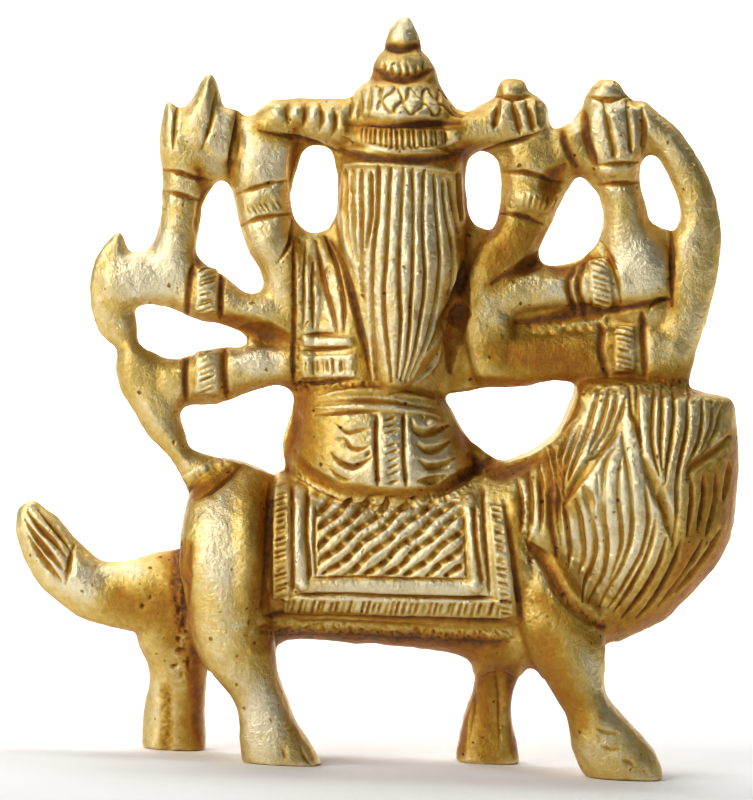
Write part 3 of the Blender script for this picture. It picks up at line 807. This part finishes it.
rightCuts = {
    "creases": [
        [(12.5, 71.8),(15.8, 71.7),(19.7, 70.4)], [(12.3, 66.9),(14.9, 66.6),(17.4, 65.6)],
        [(24.0, 70.3),(25.7, 70.4),(28.9, 70.6)], [(24.0, 72.6),(26.1, 72.8),(28.8, 73.0)],
        [(11.7, 80.9),(13.7, 80.7),(16.0, 81.0)], [(22.8, 80.8),(25.2, 80.5),(27.4, 80.8)],
        [(10.1, 74.3),(14.1, 75.4),(17.8, 76.8)], [(24.2, 63.7),(25.4, 61.6),(26.4, 58.9),(26.7, 56.1)], [(32.7, 65.2),(32.8, 61.1),(32.8, 55.8)],
        [(32.8, 56.7),(31.1, 56.4),(30.0, 55.4)],
    ],
    "orange": [
        [(19.7, 76.5),(20.3, 74.5),(21.4, 72.6)], [(22.3, 78.8),(22.6, 75.9),(23.6, 72.8)],
        [(20.9, 60.6),(20.4, 58.0),(21.2, 55.1)], [(22.2, 61.1),(21.6, 58.0),(22.4, 54.9)], [(24.5, 53.2),(24.3, 50.4),(25.1, 47.5)], [(29.2, 54.9),(29.4, 51.3),(29.6, 47.7)],
    ],
    "crownFist": [[(12.2, 80.3),(11.9, 78.8),(11.6, 77.1)], [(13.7, 80.3),(14.2, 78.5),(14.7, 76.6)], [(15.4, 80.3),(15.9, 78.5),(16.3, 76.7)], [(16.8, 80.2),(17.1, 78.8),(17.2, 77.3)]],
    "maceFist": [[(24.6, 80.3),(25.3, 77.1),(26.1, 73.5)], [(27.4, 80.3),(27.8, 77.3),(27.9, 74.2)], [(29.2, 79.5),(29.5, 77.1),(29.4, 74.5)]],
    "elbow": [(29.2, 60.4, 3.82, 4.77)],
    "upperOval": [(16.3, 68.7, 3.58, 2.27)],
    "upperBangle": [(14.7, 67.2),(18.6, 66.9),(18.9, 69.3),(14.9, 69.7)],
    "middleBangle": [(25.8, 55.8),(25.2, 61.6),(22.8, 61.1),(23.3, 55.6)],
    "lowerBangle": [(28.4, 48.2),(28.4, 53.5),(25.9, 53.2),(25.9, 48.0)],
    "wedge": [[(14.2, 53.9),(17.7, 54.2),(21.2, 54.8),(24.9, 55.3)]],
    "upperWedge": [[(11.2, 58.5),(12.9, 59.5),(14.9, 60.4),(17.7, 61.8)]],
    "pastWedge": [[(24.2, 55.1),(27.8, 55.7),(32.3, 56.7)]],
}
# Where the patina was never rubbed off.
stains = {
    "pitted": [
        [(21.6, 45.6),(26.6, 46.2),(34.7, 46.5)], [(35.7, 44.6),(40.2, 44.2)], [(-16.1, 17.4),(-8.0, 17.5),(0.4, 17.1),(7.5, 16.7),(13.7, 16.5)],
        [(-11.6, 35.3),(-8.0, 33.4),(-3.8, 32.5),(0.6, 32.2),(5.1, 32.9),(8.7, 34.6)], [(-11.9, 63.7),(-11.9, 56.6),(-11.9, 46.4)], [(-12.2, 46.1),(-8.0, 46.5),(-3.2, 46.7)],
        [(-26.1, 27.3),(-26.3, 22.0),(-25.4, 16.0)], [(15.9, 53.1),(20.6, 53.3),(24.9, 54.1)], [(15.2, 32.7),(15.6, 25.5),(16.1, 18.4)], [(-25.9, 16.0),(-25.7, 11.2)], [(-27.6, 10.0),(-27.3, 3.5)], [(19.0, 22.0),(22.1, 18.9),(24.2, 17.7)],
    ],
    "areas": [
        [(14.7, 49.4),(19.5, 49.2),(23.0, 49.2)], [(39.7, 36.3),(38.8, 29.1),(35.0, 22.0),(29.0, 17.8)], [(-33.1, 20.8),(-28.3, 19.3)], [(19.0, 36.3),(19.5, 32.7)],
        [(11.7, 50.4),(18.3, 49.8),(24.2, 50.4)], [(10.7, 12.6),(10.7, 2.6)], [(-11.3, 44.6),(-11.3, 38.7)],
        [(15.2, 64.3),(12.3, 61.1)], [(37.6, 35.1),(36.2, 29.1),(32.6, 23.2),(26.6, 17.8)], [(-29.5, 20.8),(-27.1, 20.3)], [(-16.1, 15.4),(0.4, 15.0),(12.3, 14.2)],
        [(-16.3, 32.7),(-16.1, 25.5),(-16.6, 20.8)], [(17.1, 16.0),(19.5, 11.2),(21.8, 6.4)], [(-11.1, 42.2),(-11.3, 38.1)], [(12.3, 45.2),(8.7, 39.9)],
    ],
    "rubbed": [
        (-20.2, 27.9, 4.30, 8.11), (24.2, 36.3, 5.97, 8.95), (0.7, 89.0, 1.67, 1.91), (-16.1, 5.8, 3.10, 5.25), (23.0, 8.8, 4.06, 5.97),
        (0.4, 80.4, 5.25, 2.86), (-14.9, 73.3, 2.86, 4.06), (-19.3, 75.7, 3.34, 5.25), (29.0, 60.1, 3.82, 5.25), (2.7, 38.1, 5.25, 5.25), (-22.1, 70.3, 2.86, 4.77), (19.5, 78.0, 3.58, 2.39),
        (1.6, 67.3, 4.77, 5.97), (2.7, 22.0, 14.32, 1.43), (-11.6, 27.3, 1.67, 7.16), (25.4, 77.4, 3.58, 4.06), (-29.5, 60.1, 4.77, 5.97), (-16.1, 49.2, 3.58, 1.67), (21.4, 57.8, 4.77, 1.91), (-34.2, 22.6, 7.16, 3.10),
    ],
    "valleys": [
        [(-13.2, 46.5),(-8.0, 46.1),(-0.8, 46.1),(3.9, 45.1),(6.9, 44.4)],
        [(-8.5, 63.7),(-6.6, 60.1),(-5.4, 56.6),(-4.7, 53.0),(-3.7, 46.8)],
        [(7.9, 64.9),(8.2, 61.1),(7.5, 56.6),(6.3, 52.4),(6.6, 46.5)],
        [(-12.5, 63.7),(-12.4, 56.6),(-12.4, 46.5)],
        [(10.9, 58.5),(13.7, 59.5),(17.7, 61.1)], [(13.5, 53.2),(17.7, 53.9),(24.2, 55.6),(32.6, 56.7)],
        [(-12.5, 38.9),(-11.2, 36.5),(-8.6, 34.6),(-4.4, 33.5),(0.4, 33.2),(4.9, 33.9),(8.1, 35.6),(11.7, 37.9)],
        [(-16.0, 33.9),(-16.0, 27.9),(-16.5, 23.2),(-17.1, 18.1)],
        [(18.0, 36.3),(18.0, 32.1),(18.6, 27.3),(20.6, 22.9),(23.7, 19.6)],
        [(-16.1, 18.9),(-8.0, 19.0),(0.4, 18.5),(7.5, 18.3),(13.7, 18.0)],
        [(14.2, 32.7),(14.4, 25.5),(14.9, 17.8)],
        [(-24.9, 27.3),(-25.2, 22.0),(-24.7, 17.2),(-24.0, 14.8)], [(-27.6, 10.0),(-27.3, 6.4),(-27.7, 3.5)], [(15.6, 27.6),(18.0, 24.9),(20.2, 20.9),(24.7, 17.7)],
        [(-16.8, 77.1),(-14.6, 76.1),(-11.6, 75.3),(-6.2, 73.5)], [(-6.2, 77.1),(0.4, 76.8),(7.5, 77.3)], [(-6.8, 73.6),(0.4, 73.4),(7.8, 73.7)],
        [(-19.1, 79.8),(-19.3, 76.6),(-19.9, 71.1)], [(19.7, 76.8),(20.6, 74.5),(21.6, 71.8)], [(30.2, 73.3),(31.4, 71.5),(32.3, 68.5)],
        [(32.8, 65.4),(32.9, 61.1),(32.9, 55.8)], [(8.7, 47.3),(14.7, 46.5),(21.2, 46.8),(29.0, 47.3),(35.0, 47.0)],
        [(-1.4, 86.8),(0.6, 86.6),(2.5, 86.8)], [(-2.5, 83.1),(0.6, 82.8),(4.2, 83.1)],
    ],
    "broad": [
        [(7.9, 63.7),(8.7, 58.9),(8.0, 53.0),(7.0, 47.0)], [(-19.7, 53.5),(-16.1, 53.2),(-12.5, 53.2)], [(21.1, 47.5),(26.6, 47.7),(35.0, 48.0)],
        [(-29.5, 19.3),(-27.3, 20.8),(-25.9, 25.5),(-25.7, 18.4)], [(-16.1, 16.0),(-8.0, 15.6),(2.7, 15.3),(12.3, 14.6)],
        [(17.1, 20.8),(21.2, 17.8),(25.4, 14.8)], [(-16.1, 35.1),(-16.1, 27.9),(-16.5, 20.8)], [(14.7, 42.2),(12.3, 38.7),(9.9, 36.3)],
        [(5.1, 82.3),(6.6, 78.8)], [(-7.2, 73.0),(-7.2, 67.9)], [(7.9, 73.5),(8.0, 67.3)],
        [(-24.5, 14.2),(-23.9, 8.8),(-23.9, 2.3)], [(-24.9, 8.8),(-24.9, 2.3)], [(-12.8, 13.6),(-11.8, 6.4)], [(-27.1, 25.5),(-26.4, 20.8),(-26.8, 16.0)], [(8.2, 12.6),(7.8, 8.8),(7.5, 2.9)], [(13.7, 12.6),(14.0, 8.8),(14.2, 2.9)],
        [(9.7, 62.5),(11.1, 64.9),(12.3, 66.7)], [(8.7, 74.5),(9.2, 70.9),(8.7, 66.7)], [(40.3, 39.9),(40.2, 32.7),(38.8, 27.3),(35.0, 22.0),(29.0, 17.2)],
    ],
    "deep": [
        [(4.7, 73.3),(6.6, 73.5),(8.4, 74.8)], [(-24.5, 14.8),(-23.9, 8.8),(-23.6, 2.3)], [(-15.6, 16.9),(-8.0, 16.6),(2.7, 16.2),(12.3, 15.6)], [(-14.9, 16.0),(-13.2, 11.2),(-11.6, 6.9)],
        [(13.6, 12.6),(13.8, 8.8),(14.3, 2.9)], [(8.1, 12.6),(7.8, 8.8),(7.4, 2.9)], [(-26.1, 27.0),(-26.3, 22.0),(-25.9, 17.8)],
    ],
    "walls": [
        [(-12.1, 76.8),(-11.6, 70.9),(-12.1, 67.1)], [(-23.7, 72.1),(-22.6, 68.5),(-23.2, 63.7),(-23.7, 61.1)], [(-20.9, 54.4),(-17.5, 53.5),(-12.8, 51.8)],
        [(-18.7, 52.9),(-16.1, 52.5),(-12.8, 52.4)], [(6.9, 56.6),(7.8, 53.0)], [(17.7, 68.5),(18.5, 70.9),(20.0, 72.6)],
        [(-13.0, 45.2),(-12.8, 41.1),(-13.2, 36.3)], [(-25.9, 32.7),(-21.7, 35.1),(-18.1, 37.2)], [(8.7, 38.1),(12.3, 36.3),(19.5, 38.7)],
        [(17.7, 61.1),(19.5, 60.4),(23.0, 61.6)], [(19.5, 41.1),(20.6, 44.6),(21.8, 46.4)],
    ],
}


def carve(piece):
    points, normals = pointsOf(piece.data), normalsOf(piece.data)
    work = Carving(points, normals)
    work.lines(hair["grooves"], hair["width"], hair["depth"], ends=(0.03, 0.2), tip=0.6, patina=0.45)
    work.lines(hair["rightEdge"], 1.3, 0.55)
    work.lines(hair["hollow"], 2.6, 0.6, patina=0.4)
    work.lines(hair["leftEdge"], 1.1, 0.45)
    work.lines(hair["topEdge"], 0.7, -0.3, ends=(0.1, 0.1))
    work.lines(hair["underCrown"], 1.4, 0.4, ends=(0.1, 0.1), patina=0.3)
    work.lines(hair["lowerLock"], 0.8, -0.35)
    # the crown: cuts and lozenges counted round its own axis
    r = np.hypot(points[:, 0] - 0.9, points[:, 1] - 0.4)
    q = np.arctan2(points[:, 0] - 0.9, -(points[:, 1] - 0.4))
    z = points[:, 2]
    onCrown = (z > 73.6) & (r < 8.2) & (points[:, 1] > -9)
    sagging = 0.042 * (points[:, 0] - 0.9) ** 2
    band = ease((z - 73.7 - sagging) / 0.3) * ease((77.1 - z) / 0.3) * onCrown
    turns = q / (2 * math.pi) * crownCuts["bandCuts"] + 0.12 * (z - 75.5)
    pick = np.random.default_rng(4).uniform(-1, 1, crownCuts["bandCuts"])
    which = turns.astype(int) % crownCuts["bandCuts"]
    cuts = np.clip(1 - (np.abs(turns % 1 - 0.5 + 0.2 * pick[which]) * 2 / 0.6) ** 2, 0, 1) * (0.75 + 0.25 * pick[which])
    cuts *= ease((z - 74.2 - sagging) / 0.3) * ease((76.9 - z) / 0.3) * ease((5.6 - np.abs(points[:, 0] - 1.4)) / 0.4)
    work.height += 0.25 * band - 0.3 * band * cuts
    work.groove = np.maximum(work.groove, 0.5 * band * cuts)
    work.lines(crownCuts["undercut"], 0.9, 0.25, ends=(0.3, 0.2), patina=0.4)
    tier = ease((z - 78.4) / 0.3) * ease((82.0 - z) / 0.3) * onCrown * ease((points[:, 0] + 2.4) / 0.4)
    a = q / (2 * math.pi) * crownCuts["zigzags"] + 0.1 * np.sin(5 * q + 2 * z)
    b = (z - 78.4) / 3.7
    net = np.minimum(np.abs((a + b) % 1 - 0.5), np.abs((a - b) % 1 - 0.5)) * 2
    line = np.clip(1 - (net / 0.27) ** 2, 0, 1)
    work.height -= 0.34 * tier * line
    work.groove = np.maximum(work.groove, 0.5 * tier * line)
    work.lines(crownCuts["flutes"], 0.7, 0.35, patina=0.5)
    work.lines(crownCuts["notches"], 0.6, 0.3, ends=(0.5, 0.1), patina=0.5)
    work.lines(crownCuts["recess"], 1.4, 0.4, ends=(0.1, 0.1), tip=0.5, patina=0.4)
    work.lines(crownCuts["budBand"], 1.2, 0.3, ends=(0.05, 0.05), tip=0.7, patina=0.3)
    work.stain(crownCuts["recess"] + crownCuts["budBand"] + crownCuts["undercut"] + hair["underCrown"], 2.2, 1.0)
    # the sash
    work.patch(sash["band"], raised=0.35)
    work.patch(sash["fringe"], raised=0.3, cuts=9, depth=0.35, side="front")
    work.lines(sash["grooves"], 0.7, 0.45, ends=(0.2, 0.2), tip=0.5)
    work.lines(sash["outline"], 0.6, 0.4)
    work.lines(sash["strip"], 0.7, 0.35, ends=(0.1, 0.1))
    # the skirt
    work.lines(hips["ridges"], 1.0, -0.4)
    work.lines(hips["grooves"], 0.6, 0.3)
    work.lines(hips["stripSides"], 0.7, 0.6, ends=(0.08, 0.08), tip=0.6)
    work.lines(hips["stripCuts"], 0.45, 0.25)
    work.lines(hips["shallow"], 0.6, 0.28)
    work.lines(hips["deep"], 0.9, 0.5)
    work.lines(hips["pleats"], 1.3, 0.65)
    work.bumps(hips["curl"], 0.5)
    work.lines(hips["rimGroove"], 2.0, 0.4, ends=(0.15, 0.15), patina=0.3)
    work.lines(hips["rimLip"], 0.9, -0.3)
    # the saddle cloth
    work.lines(saddle["outerGroove"], 0.9, 0.25, ends=(0.05, 0.05), patina=0.4)
    for corners in saddle["borders"]:
        work.patch(corners, raised=0.25, side="far")
    work.lines(saddle["frameGrooves"], 0.55, 0.3, ends=(0.05, 0.05), side="far")
    for corners, count in zip(saddle["borders"], saddle["borderCuts"]):
        work.patch(corners, raised=0.25, cuts=count, depth=0.35, share=0.7, slant=0.8, side="front")
    work.lines(saddle["frameGrooves"], 0.55, 0.4, ends=(0.05, 0.05))
    work.lines(saddle["innerGrooves"], 0.8, 0.5, ends=(0.05, 0.05))
    work.lines(saddle["fieldEdge"], 0.4, 0.3, ends=(0.05, 0.05))
    work.lattice(saddle["field"], math.radians(saddle["turn"]), saddle["ribs"], saddle["steps"], 0.9)
    work.lines(saddle["frame"], 1.7, -0.35, ends=(0.02, 0.02), tip=0.9, power=0.5)
    work.lines(saddle["hem"], 1.4, -0.25, ends=(0.05, 0.05))
    # the lion
    for side in ("front", "far"):
        work.lines(mane["grooves"], mane["width"], mane["depth"], ends=(0.2, 0.25), tip=0.4, patina=0.2, side=side)
    work.lines(mane["valleys"], 1.7, 0.6, patina=0.5)
    work.lines(mane["edge"], 2.0, 0.5, ends=(0.2, 0.15), patina=0.1)
    work.bumps(lion["flank"], 0.9)
    work.lines(lion["haunch"], 2.6, 0.35, patina=0.2)
    work.lines(lion["legCrease"], 1.3, 0.3, patina=0.5)
    work.bumps(lion["holes"], -0.45, patina=0.9)
    work.lines(lion["tail"], 0.9, 0.5)
    work.lines(lion["toes"], 0.5, 0.2, patina=0.4)
    # the arms
    for group in (leftCuts, rightCuts):
        work.lines(group["creases"], 0.8, 0.4, side="both")
    work.lines(leftCuts["fist"], 0.7, 0.3, side="both", patina=0.6)
    work.bumps(leftCuts["knuckles"], 0.55, side="both")
    work.bumps(leftCuts["elbow"] + rightCuts["elbow"], 0.5, side="both")
    work.patch(leftCuts["armCuts"], cuts=7, depth=0.3, rim=0.05, slant=-1.2)
    work.bumps(rightCuts["upperOval"], 0.9, side="both")
    for group, name, count, slant in ((leftCuts, "middleBangle", 9, -1.6), (leftCuts, "lowerBangle", 7, -1.6), (rightCuts, "upperBangle", 6, 0.6),
                                      (rightCuts, "middleBangle", 9, 1.4), (rightCuts, "lowerBangle", 8, 1.2)):
        work.patch(group[name], raised=0.1 if name == "upperBangle" else 0.65, cuts=count, depth=0.35, edge=0.8, rim=0.1, slant=slant, domed=True, patina=0.5)
    work.patch(leftCuts["foot"], raised=0.15, cuts=7, depth=0.2)
    work.lines(leftCuts["bands"], 0.9, 0.35, ends=(0.1, 0.1), patina=0.5)
    work.lines(rightCuts["crownFist"], 1.0, 0.55, side="both", ends=(0.4, 0.1), tip=0.5, patina=0.6)
    work.lines(rightCuts["maceFist"], 0.9, 0.45, side="both", ends=(0.3, 0.1), tip=0.4, patina=0.6)
    work.lines(rightCuts["orange"], 1.1, 0.35, ends=(0.1, 0.1), tip=0.7, patina=0.4)
    work.lines(rightCuts["wedge"], 2.2, 0.5, ends=(0.6, 0.05), tip=0.3, patina=0.4)
    work.lines(rightCuts["upperWedge"], 2.2, 0.5, ends=(0.7, 0.05), tip=0.2, patina=0.4)
    work.lines(rightCuts["pastWedge"], 1.0, 0.3, ends=(0.05, 0.1), tip=0.5, patina=0.4)
    work.stain(rightCuts["wedge"] + rightCuts["upperWedge"] + rightCuts["pastWedge"], 3.2, 1.0)
    work.stain(leftCuts["bands"] + rightCuts["orange"], 1.8, 0.9)
    work.pitted(stains["pitted"], 1.6, 0.16, uneven(points, 1.1, 1, waves=24, seed=12))
    work.stain(stains["areas"], 9, 0.9)
    work.stain(stains["valleys"], 2.6, 0.85)
    work.lines(stains["walls"], 3.2, 0.5, ends=(0.4, 0.4), patina=0.35)
    work.stain(stains["walls"], 3.8, 0.95)
    work.stain(stains["broad"], 4.2, 0.75)
    work.stain(stains["deep"], 3.2, 1.8)
    work.rub(stains["rubbed"])
    work.height += uneven(points, 6.0, 0.07) + uneven(points, 1.8, 0.035, seed=8)
    points += normals * work.height[:, None]
    piece.data.vertices.foreach_set("co", points.ravel())
    piece.data.update()
    return work.groove, work.patina, work.rubbed


groove, patina, rubbed = carve(durga)

# How hollow the surface is at each point: its distance outwards from a much smoother copy.
smoother = durga.modifiers.new("smoother", "SMOOTH")
smoother.factor = 0.5
smoother.iterations = 40
soft = bpy.data.meshes.new_from_object(durga.evaluated_get(bpy.context.evaluated_depsgraph_get()))
durga.modifiers.clear()
points, normals = pointsOf(durga.data), normalsOf(durga.data)
hollow = np.einsum("ij,ij->i", pointsOf(soft) - points, normals)
bpy.data.meshes.remove(soft)
facing = ease((np.abs(normals[:, 1]) - 0.1) / 0.75)
under = np.clip(-normals[:, 2] - 0.2, 0, 1)
wear = 0.76 + 0.2 * rubbed - 0.24 * (1 - facing) - 0.3 * under
wear += (0.24 - wear) * np.clip(patina, 0, 1) - 0.2 * np.clip(patina - 1, 0, 1)
wear = np.clip(wear - 0.26 * groove - 1.9 * np.clip(hollow, 0, 0.2) + 1.8 * np.clip(-hollow, 0, 0.15), 0.03, 1)
print("wear", np.percentile(wear, [5, 25, 50, 75, 95]).round(2), "hollow", np.percentile(hollow, [1, 25, 75, 99]).round(3))
worn = durga.data.attributes.new("wear", "FLOAT", "POINT")
worn.data.foreach_set("value", wear)
print("carved", len(points), "deepest", round(float(groove.max()), 2))

points = pointsOf(durga.data)
points = (points - np.array(grid["origin"])) * grid["unit"]
durga.data.vertices.foreach_set("co", points.ravel())
durga.data.update()
thin = durga.modifiers.new("thin", "DECIMATE")
thin.ratio = min(1.0, casting["triangles"] / (2 * len(durga.data.polygons)))
thin.use_collapse_triangulate = True
settle(durga)
durga.data.shade_smooth()
print("thinned to", len(durga.data.polygons))

brass = {
    "deep": (0.12, 0.042, 0.006), "patina": (0.42, 0.155, 0.012), "ochre": (0.52, 0.30, 0.04),
    "bright": (0.74, 0.53, 0.155), "rubbed": (0.93, 0.82, 0.54),
    "grain": 5200.0,  # the moulding sand's grain, per metre
    "pits": 900.0,  # casting pits per metre
}


# Metal whose colour runs with the wear attribute from dark recess through orange patina to rubbed gold.
def brassMaterial():
    material = bpy.data.materials.new("castBrass")
    material.use_nodes = True
    nodes, links = material.node_tree.nodes, material.node_tree.links
    nodes.clear()
    out = nodes.new("ShaderNodeOutputMaterial")
    shader = nodes.new("ShaderNodeBsdfPrincipled")
    links.new(shader.outputs[0], out.inputs[0])
    place = nodes.new("ShaderNodeTexCoord")
    wear = nodes.new("ShaderNodeAttribute")
    wear.attribute_name = "wear"

    def noise(scale, detail, rough=0.55):
        node = nodes.new("ShaderNodeTexNoise")
        node.inputs["Scale"].default_value = scale
        node.inputs["Detail"].default_value = detail
        node.inputs["Roughness"].default_value = rough
        links.new(place.outputs["Object"], node.inputs["Vector"])
        return node.outputs[0]

    def math2(kind, a, b):
        node = nodes.new("ShaderNodeMath")
        node.operation = kind
        for socket, value in zip(node.inputs, (a, b)):
            if isinstance(value, (int, float)):
                socket.default_value = value
            else:
                links.new(value, socket)
        return node.outputs[0]

    def ramp(value, stops):
        node = nodes.new("ShaderNodeValToRGB")
        while len(node.color_ramp.elements) < len(stops):
            node.color_ramp.elements.new(0.5)
        for element, (at, colour) in zip(node.color_ramp.elements, stops):
            element.position = at
            element.color = (*colour, 1) if isinstance(colour, tuple) else (colour, colour, colour, 1)
        links.new(value, node.inputs[0])
        return node.outputs[0]

    clouds = math2("MULTIPLY", math2("SUBTRACT", noise(110, 4), 0.5), 0.55)
    mottle = math2("MULTIPLY", math2("SUBTRACT", noise(1500, 3), 0.5), 0.34)
    worn = math2("ADD", math2("ADD", wear.outputs["Fac"], clouds), mottle)
    worn = math2("SUBTRACT", worn, math2("MULTIPLY", pitMask(nodes, links, place), 0.5))
    colour = ramp(worn, [(0.0, brass["deep"]), (0.24, brass["patina"]), (0.46, brass["ochre"]), (0.72, brass["bright"]),
                         (1.0, brass["rubbed"])])
    links.new(colour, shader.inputs["Base Color"])
    links.new(ramp(worn, [(0.05, 0.5), (0.42, 0.96)]), shader.inputs["Metallic"])
    rough = math2("ADD", ramp(worn, [(0.1, 0.55), (0.8, 0.32)]), math2("MULTIPLY", noise(2600, 2), 0.12))
    links.new(rough, shader.inputs["Roughness"])
    shader.inputs["Coat Weight"].default_value = 0.1
    shader.inputs["Coat Roughness"].default_value = 0.4

    last = None
    for kind, height, strength, distance in (("grain", noise(brass["grain"], 3, 0.6), 0.5, 0.00012),
                                             ("sand", noise(1900, 4, 0.65), 0.6, 0.0003),
                                             ("hand", noise(500, 2), 0.2, 0.0008),
                                             ("pits", pitMask(nodes, links, place), -0.8, 0.0003)):
        bump = nodes.new("ShaderNodeBump")
        bump.label = kind
        bump.invert = strength < 0
        bump.inputs["Strength"].default_value = abs(strength)
        bump.inputs["Distance"].default_value = distance
        links.new(height, bump.inputs["Height"])
        if last:
            links.new(last.outputs[0], bump.inputs["Normal"])
        last = bump
    links.new(last.outputs[0], shader.inputs["Normal"])
    return material


# Scattered small holes: 1 in the middle of the rare cells of a cell pattern bent by a noise, each of its
# own size, and only where a wide noise is high.
def pitMask(nodes, links, place):
    bend = nodes.new("ShaderNodeTexNoise")
    bend.inputs["Scale"].default_value = brass["pits"] * 1.6
    links.new(place.outputs["Object"], bend.inputs["Vector"])
    shift = nodes.new("ShaderNodeVectorMath")
    shift.operation = "MULTIPLY_ADD"
    shift.inputs[1].default_value = (0.0006, 0.0006, 0.0006)
    links.new(bend.outputs["Color"], shift.inputs[0])
    links.new(place.outputs["Object"], shift.inputs[2])
    cells = nodes.new("ShaderNodeTexVoronoi")
    cells.inputs["Scale"].default_value = brass["pits"]
    links.new(shift.outputs[0], cells.inputs["Vector"])
    split = nodes.new("ShaderNodeSeparateColor")
    links.new(cells.outputs["Color"], split.inputs[0])
    wide = nodes.new("ShaderNodeTexNoise")
    wide.inputs["Scale"].default_value = 120
    links.new(place.outputs["Object"], wide.inputs["Vector"])
    rare = nodes.new("ShaderNodeMath")
    rare.operation = "GREATER_THAN"
    links.new(split.outputs[0], rare.inputs[0])
    share = nodes.new("ShaderNodeMapRange")
    share.inputs["From Min"].default_value, share.inputs["From Max"].default_value = 0.4, 0.7
    share.inputs["To Min"].default_value, share.inputs["To Max"].default_value = 0.97, 0.5
    links.new(wide.outputs[0], share.inputs["Value"])
    links.new(share.outputs[0], rare.inputs[1])
    size = nodes.new("ShaderNodeMapRange")
    size.inputs["To Min"].default_value, size.inputs["To Max"].default_value = 0.08, 0.3
    links.new(split.outputs[1], size.inputs["Value"])
    hole = nodes.new("ShaderNodeMath")
    hole.operation = "DIVIDE"
    links.new(cells.outputs["Distance"], hole.inputs[0])
    links.new(size.outputs[0], hole.inputs[1])
    inside = nodes.new("ShaderNodeMapRange")
    inside.inputs["From Min"].default_value, inside.inputs["From Max"].default_value = 1.0, 0.4
    links.new(hole.outputs[0], inside.inputs["Value"])
    both = nodes.new("ShaderNodeMath")
    both.operation = "MULTIPLY"
    links.new(rare.outputs[0], both.inputs[0])
    links.new(inside.outputs[0], both.inputs[1])
    return both.outputs[0]


durga.data.materials.clear()
durga.data.materials.append(brassMaterial())

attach(durga, "root")
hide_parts("durga_on_lion")

stage = {
    "floor": (0.92, 0.92, 0.92),
    "key": 3.5, "fill": 0.04, "top": 0.3, "back": 10.0, "wall": 40.0, "behind": 1.5, "world": 0.05,
}


# A floor that curves up into a backdrop: a profile of y and z carried along x.
def pale():
    turn = np.linspace(0, math.pi / 2, 24)
    profile = np.concatenate([[(-3.5, 0.0)], np.stack([1.5 + 0.5 * np.sin(turn), 0.5 - 0.5 * np.cos(turn)], -1), [(2.0, 2.4)]])
    xs = np.linspace(-3.5, 3.5, 3)
    points = np.stack([np.repeat(xs[:, None], len(profile), 1), np.tile(profile[:, 0], (3, 1)),
                       np.tile(profile[:, 1], (3, 1))], -1).reshape(-1, 3)
    n = len(profile)
    r, c = np.meshgrid(np.arange(2), np.arange(n - 1), indexing="ij")
    k = (r * n + c).ravel()
    mesh = bpy.data.meshes.new("floor")
    mesh.from_pydata(points.tolist(), [], np.stack([k, k + n, k + n + 1, k + 1], -1).tolist())
    piece = place("floor", mesh)
    mesh.shade_smooth()
    material = bpy.data.materials.new("palePaper")
    material.use_nodes = True
    shader = material.node_tree.nodes["Principled BSDF"]
    shader.inputs["Base Color"].default_value = (*stage["floor"], 1)
    shader.inputs["Roughness"].default_value = 0.9
    mesh.materials.append(material)
    return piece


floor = pale()


def softLight(name, place3, aim, size, power, colour=(1, 1, 1)):
    light = bpy.data.lights.new(name, "AREA")
    light.shape = "RECTANGLE"
    light.size, light.size_y = size
    light.energy = power
    light.color = colour
    lamp = bpy.data.objects.new(name, light)
    bpy.context.scene.collection.objects.link(lamp)
    back = np.array(place3, float) - np.array(aim, float)
    lamp.location = place3
    lamp.rotation_euler = mathutils.Vector(back).to_track_quat("Z", "Y").to_euler()
    return lamp


softLight("key", (-0.46, -0.40, 0.36), (0, 0, 0.045), (0.42, 0.42), stage["key"], (1, 0.985, 0.95))
softLight("back", (0, 0.3, 0.75), (0, 0.6, 0), (1.6, 0.4), stage["back"]).data.spread = math.radians(112)
softLight("wall", (0, 1.0, 1.3), (0, 1.7, 0), (3.0, 0.4), stage["wall"]).data.spread = math.radians(110)
softLight("behind", (-0.35, 0.75, 0.5), (0, 0, 0.045), (0.4, 0.4), stage["behind"])
softLight("fill", (0.7, -0.5, 0.2), (0, 0, 0.045), (0.4, 0.6), stage["fill"])
softLight("top", (0.0, -0.1, 0.8), (0, 0, 0.045), (0.6, 0.6), stage["top"])
world = bpy.data.worlds.new("studio")
bpy.context.scene.world = world
world.use_nodes = True
world.node_tree.nodes["Background"].inputs[0].default_value = (1, 1, 1, 1)
world.node_tree.nodes["Background"].inputs[1].default_value = stage["world"]
bpy.context.scene.view_settings.view_transform = "Standard"

camera = bpy.data.cameras.new("camera")
camera.sensor_fit = "HORIZONTAL"
camera.sensor_width = 36
camera.lens = view["lens"]
camera.clip_end = 20
eye = bpy.data.objects.new("camera", camera)
bpy.context.scene.collection.objects.link(eye)
rise, roll = math.radians(view["rise"]), math.radians(view["roll"])
inMetres = lambda p: (np.array(p, float) - np.array(grid["origin"])) * grid["unit"]
eye.location = inMetres((view["aimX"], -view["distance"] * math.cos(rise), view["aimZ"] + view["distance"] * math.sin(rise)))
eye.rotation_mode = "XYZ"
eye.matrix_world = (mathutils.Matrix.Translation(eye.location) @ mathutils.Matrix.Rotation(math.pi / 2 - rise, 4, "X")
                    @ mathutils.Matrix.Rotation(roll, 4, "Z"))
bpy.context.scene.camera = eye
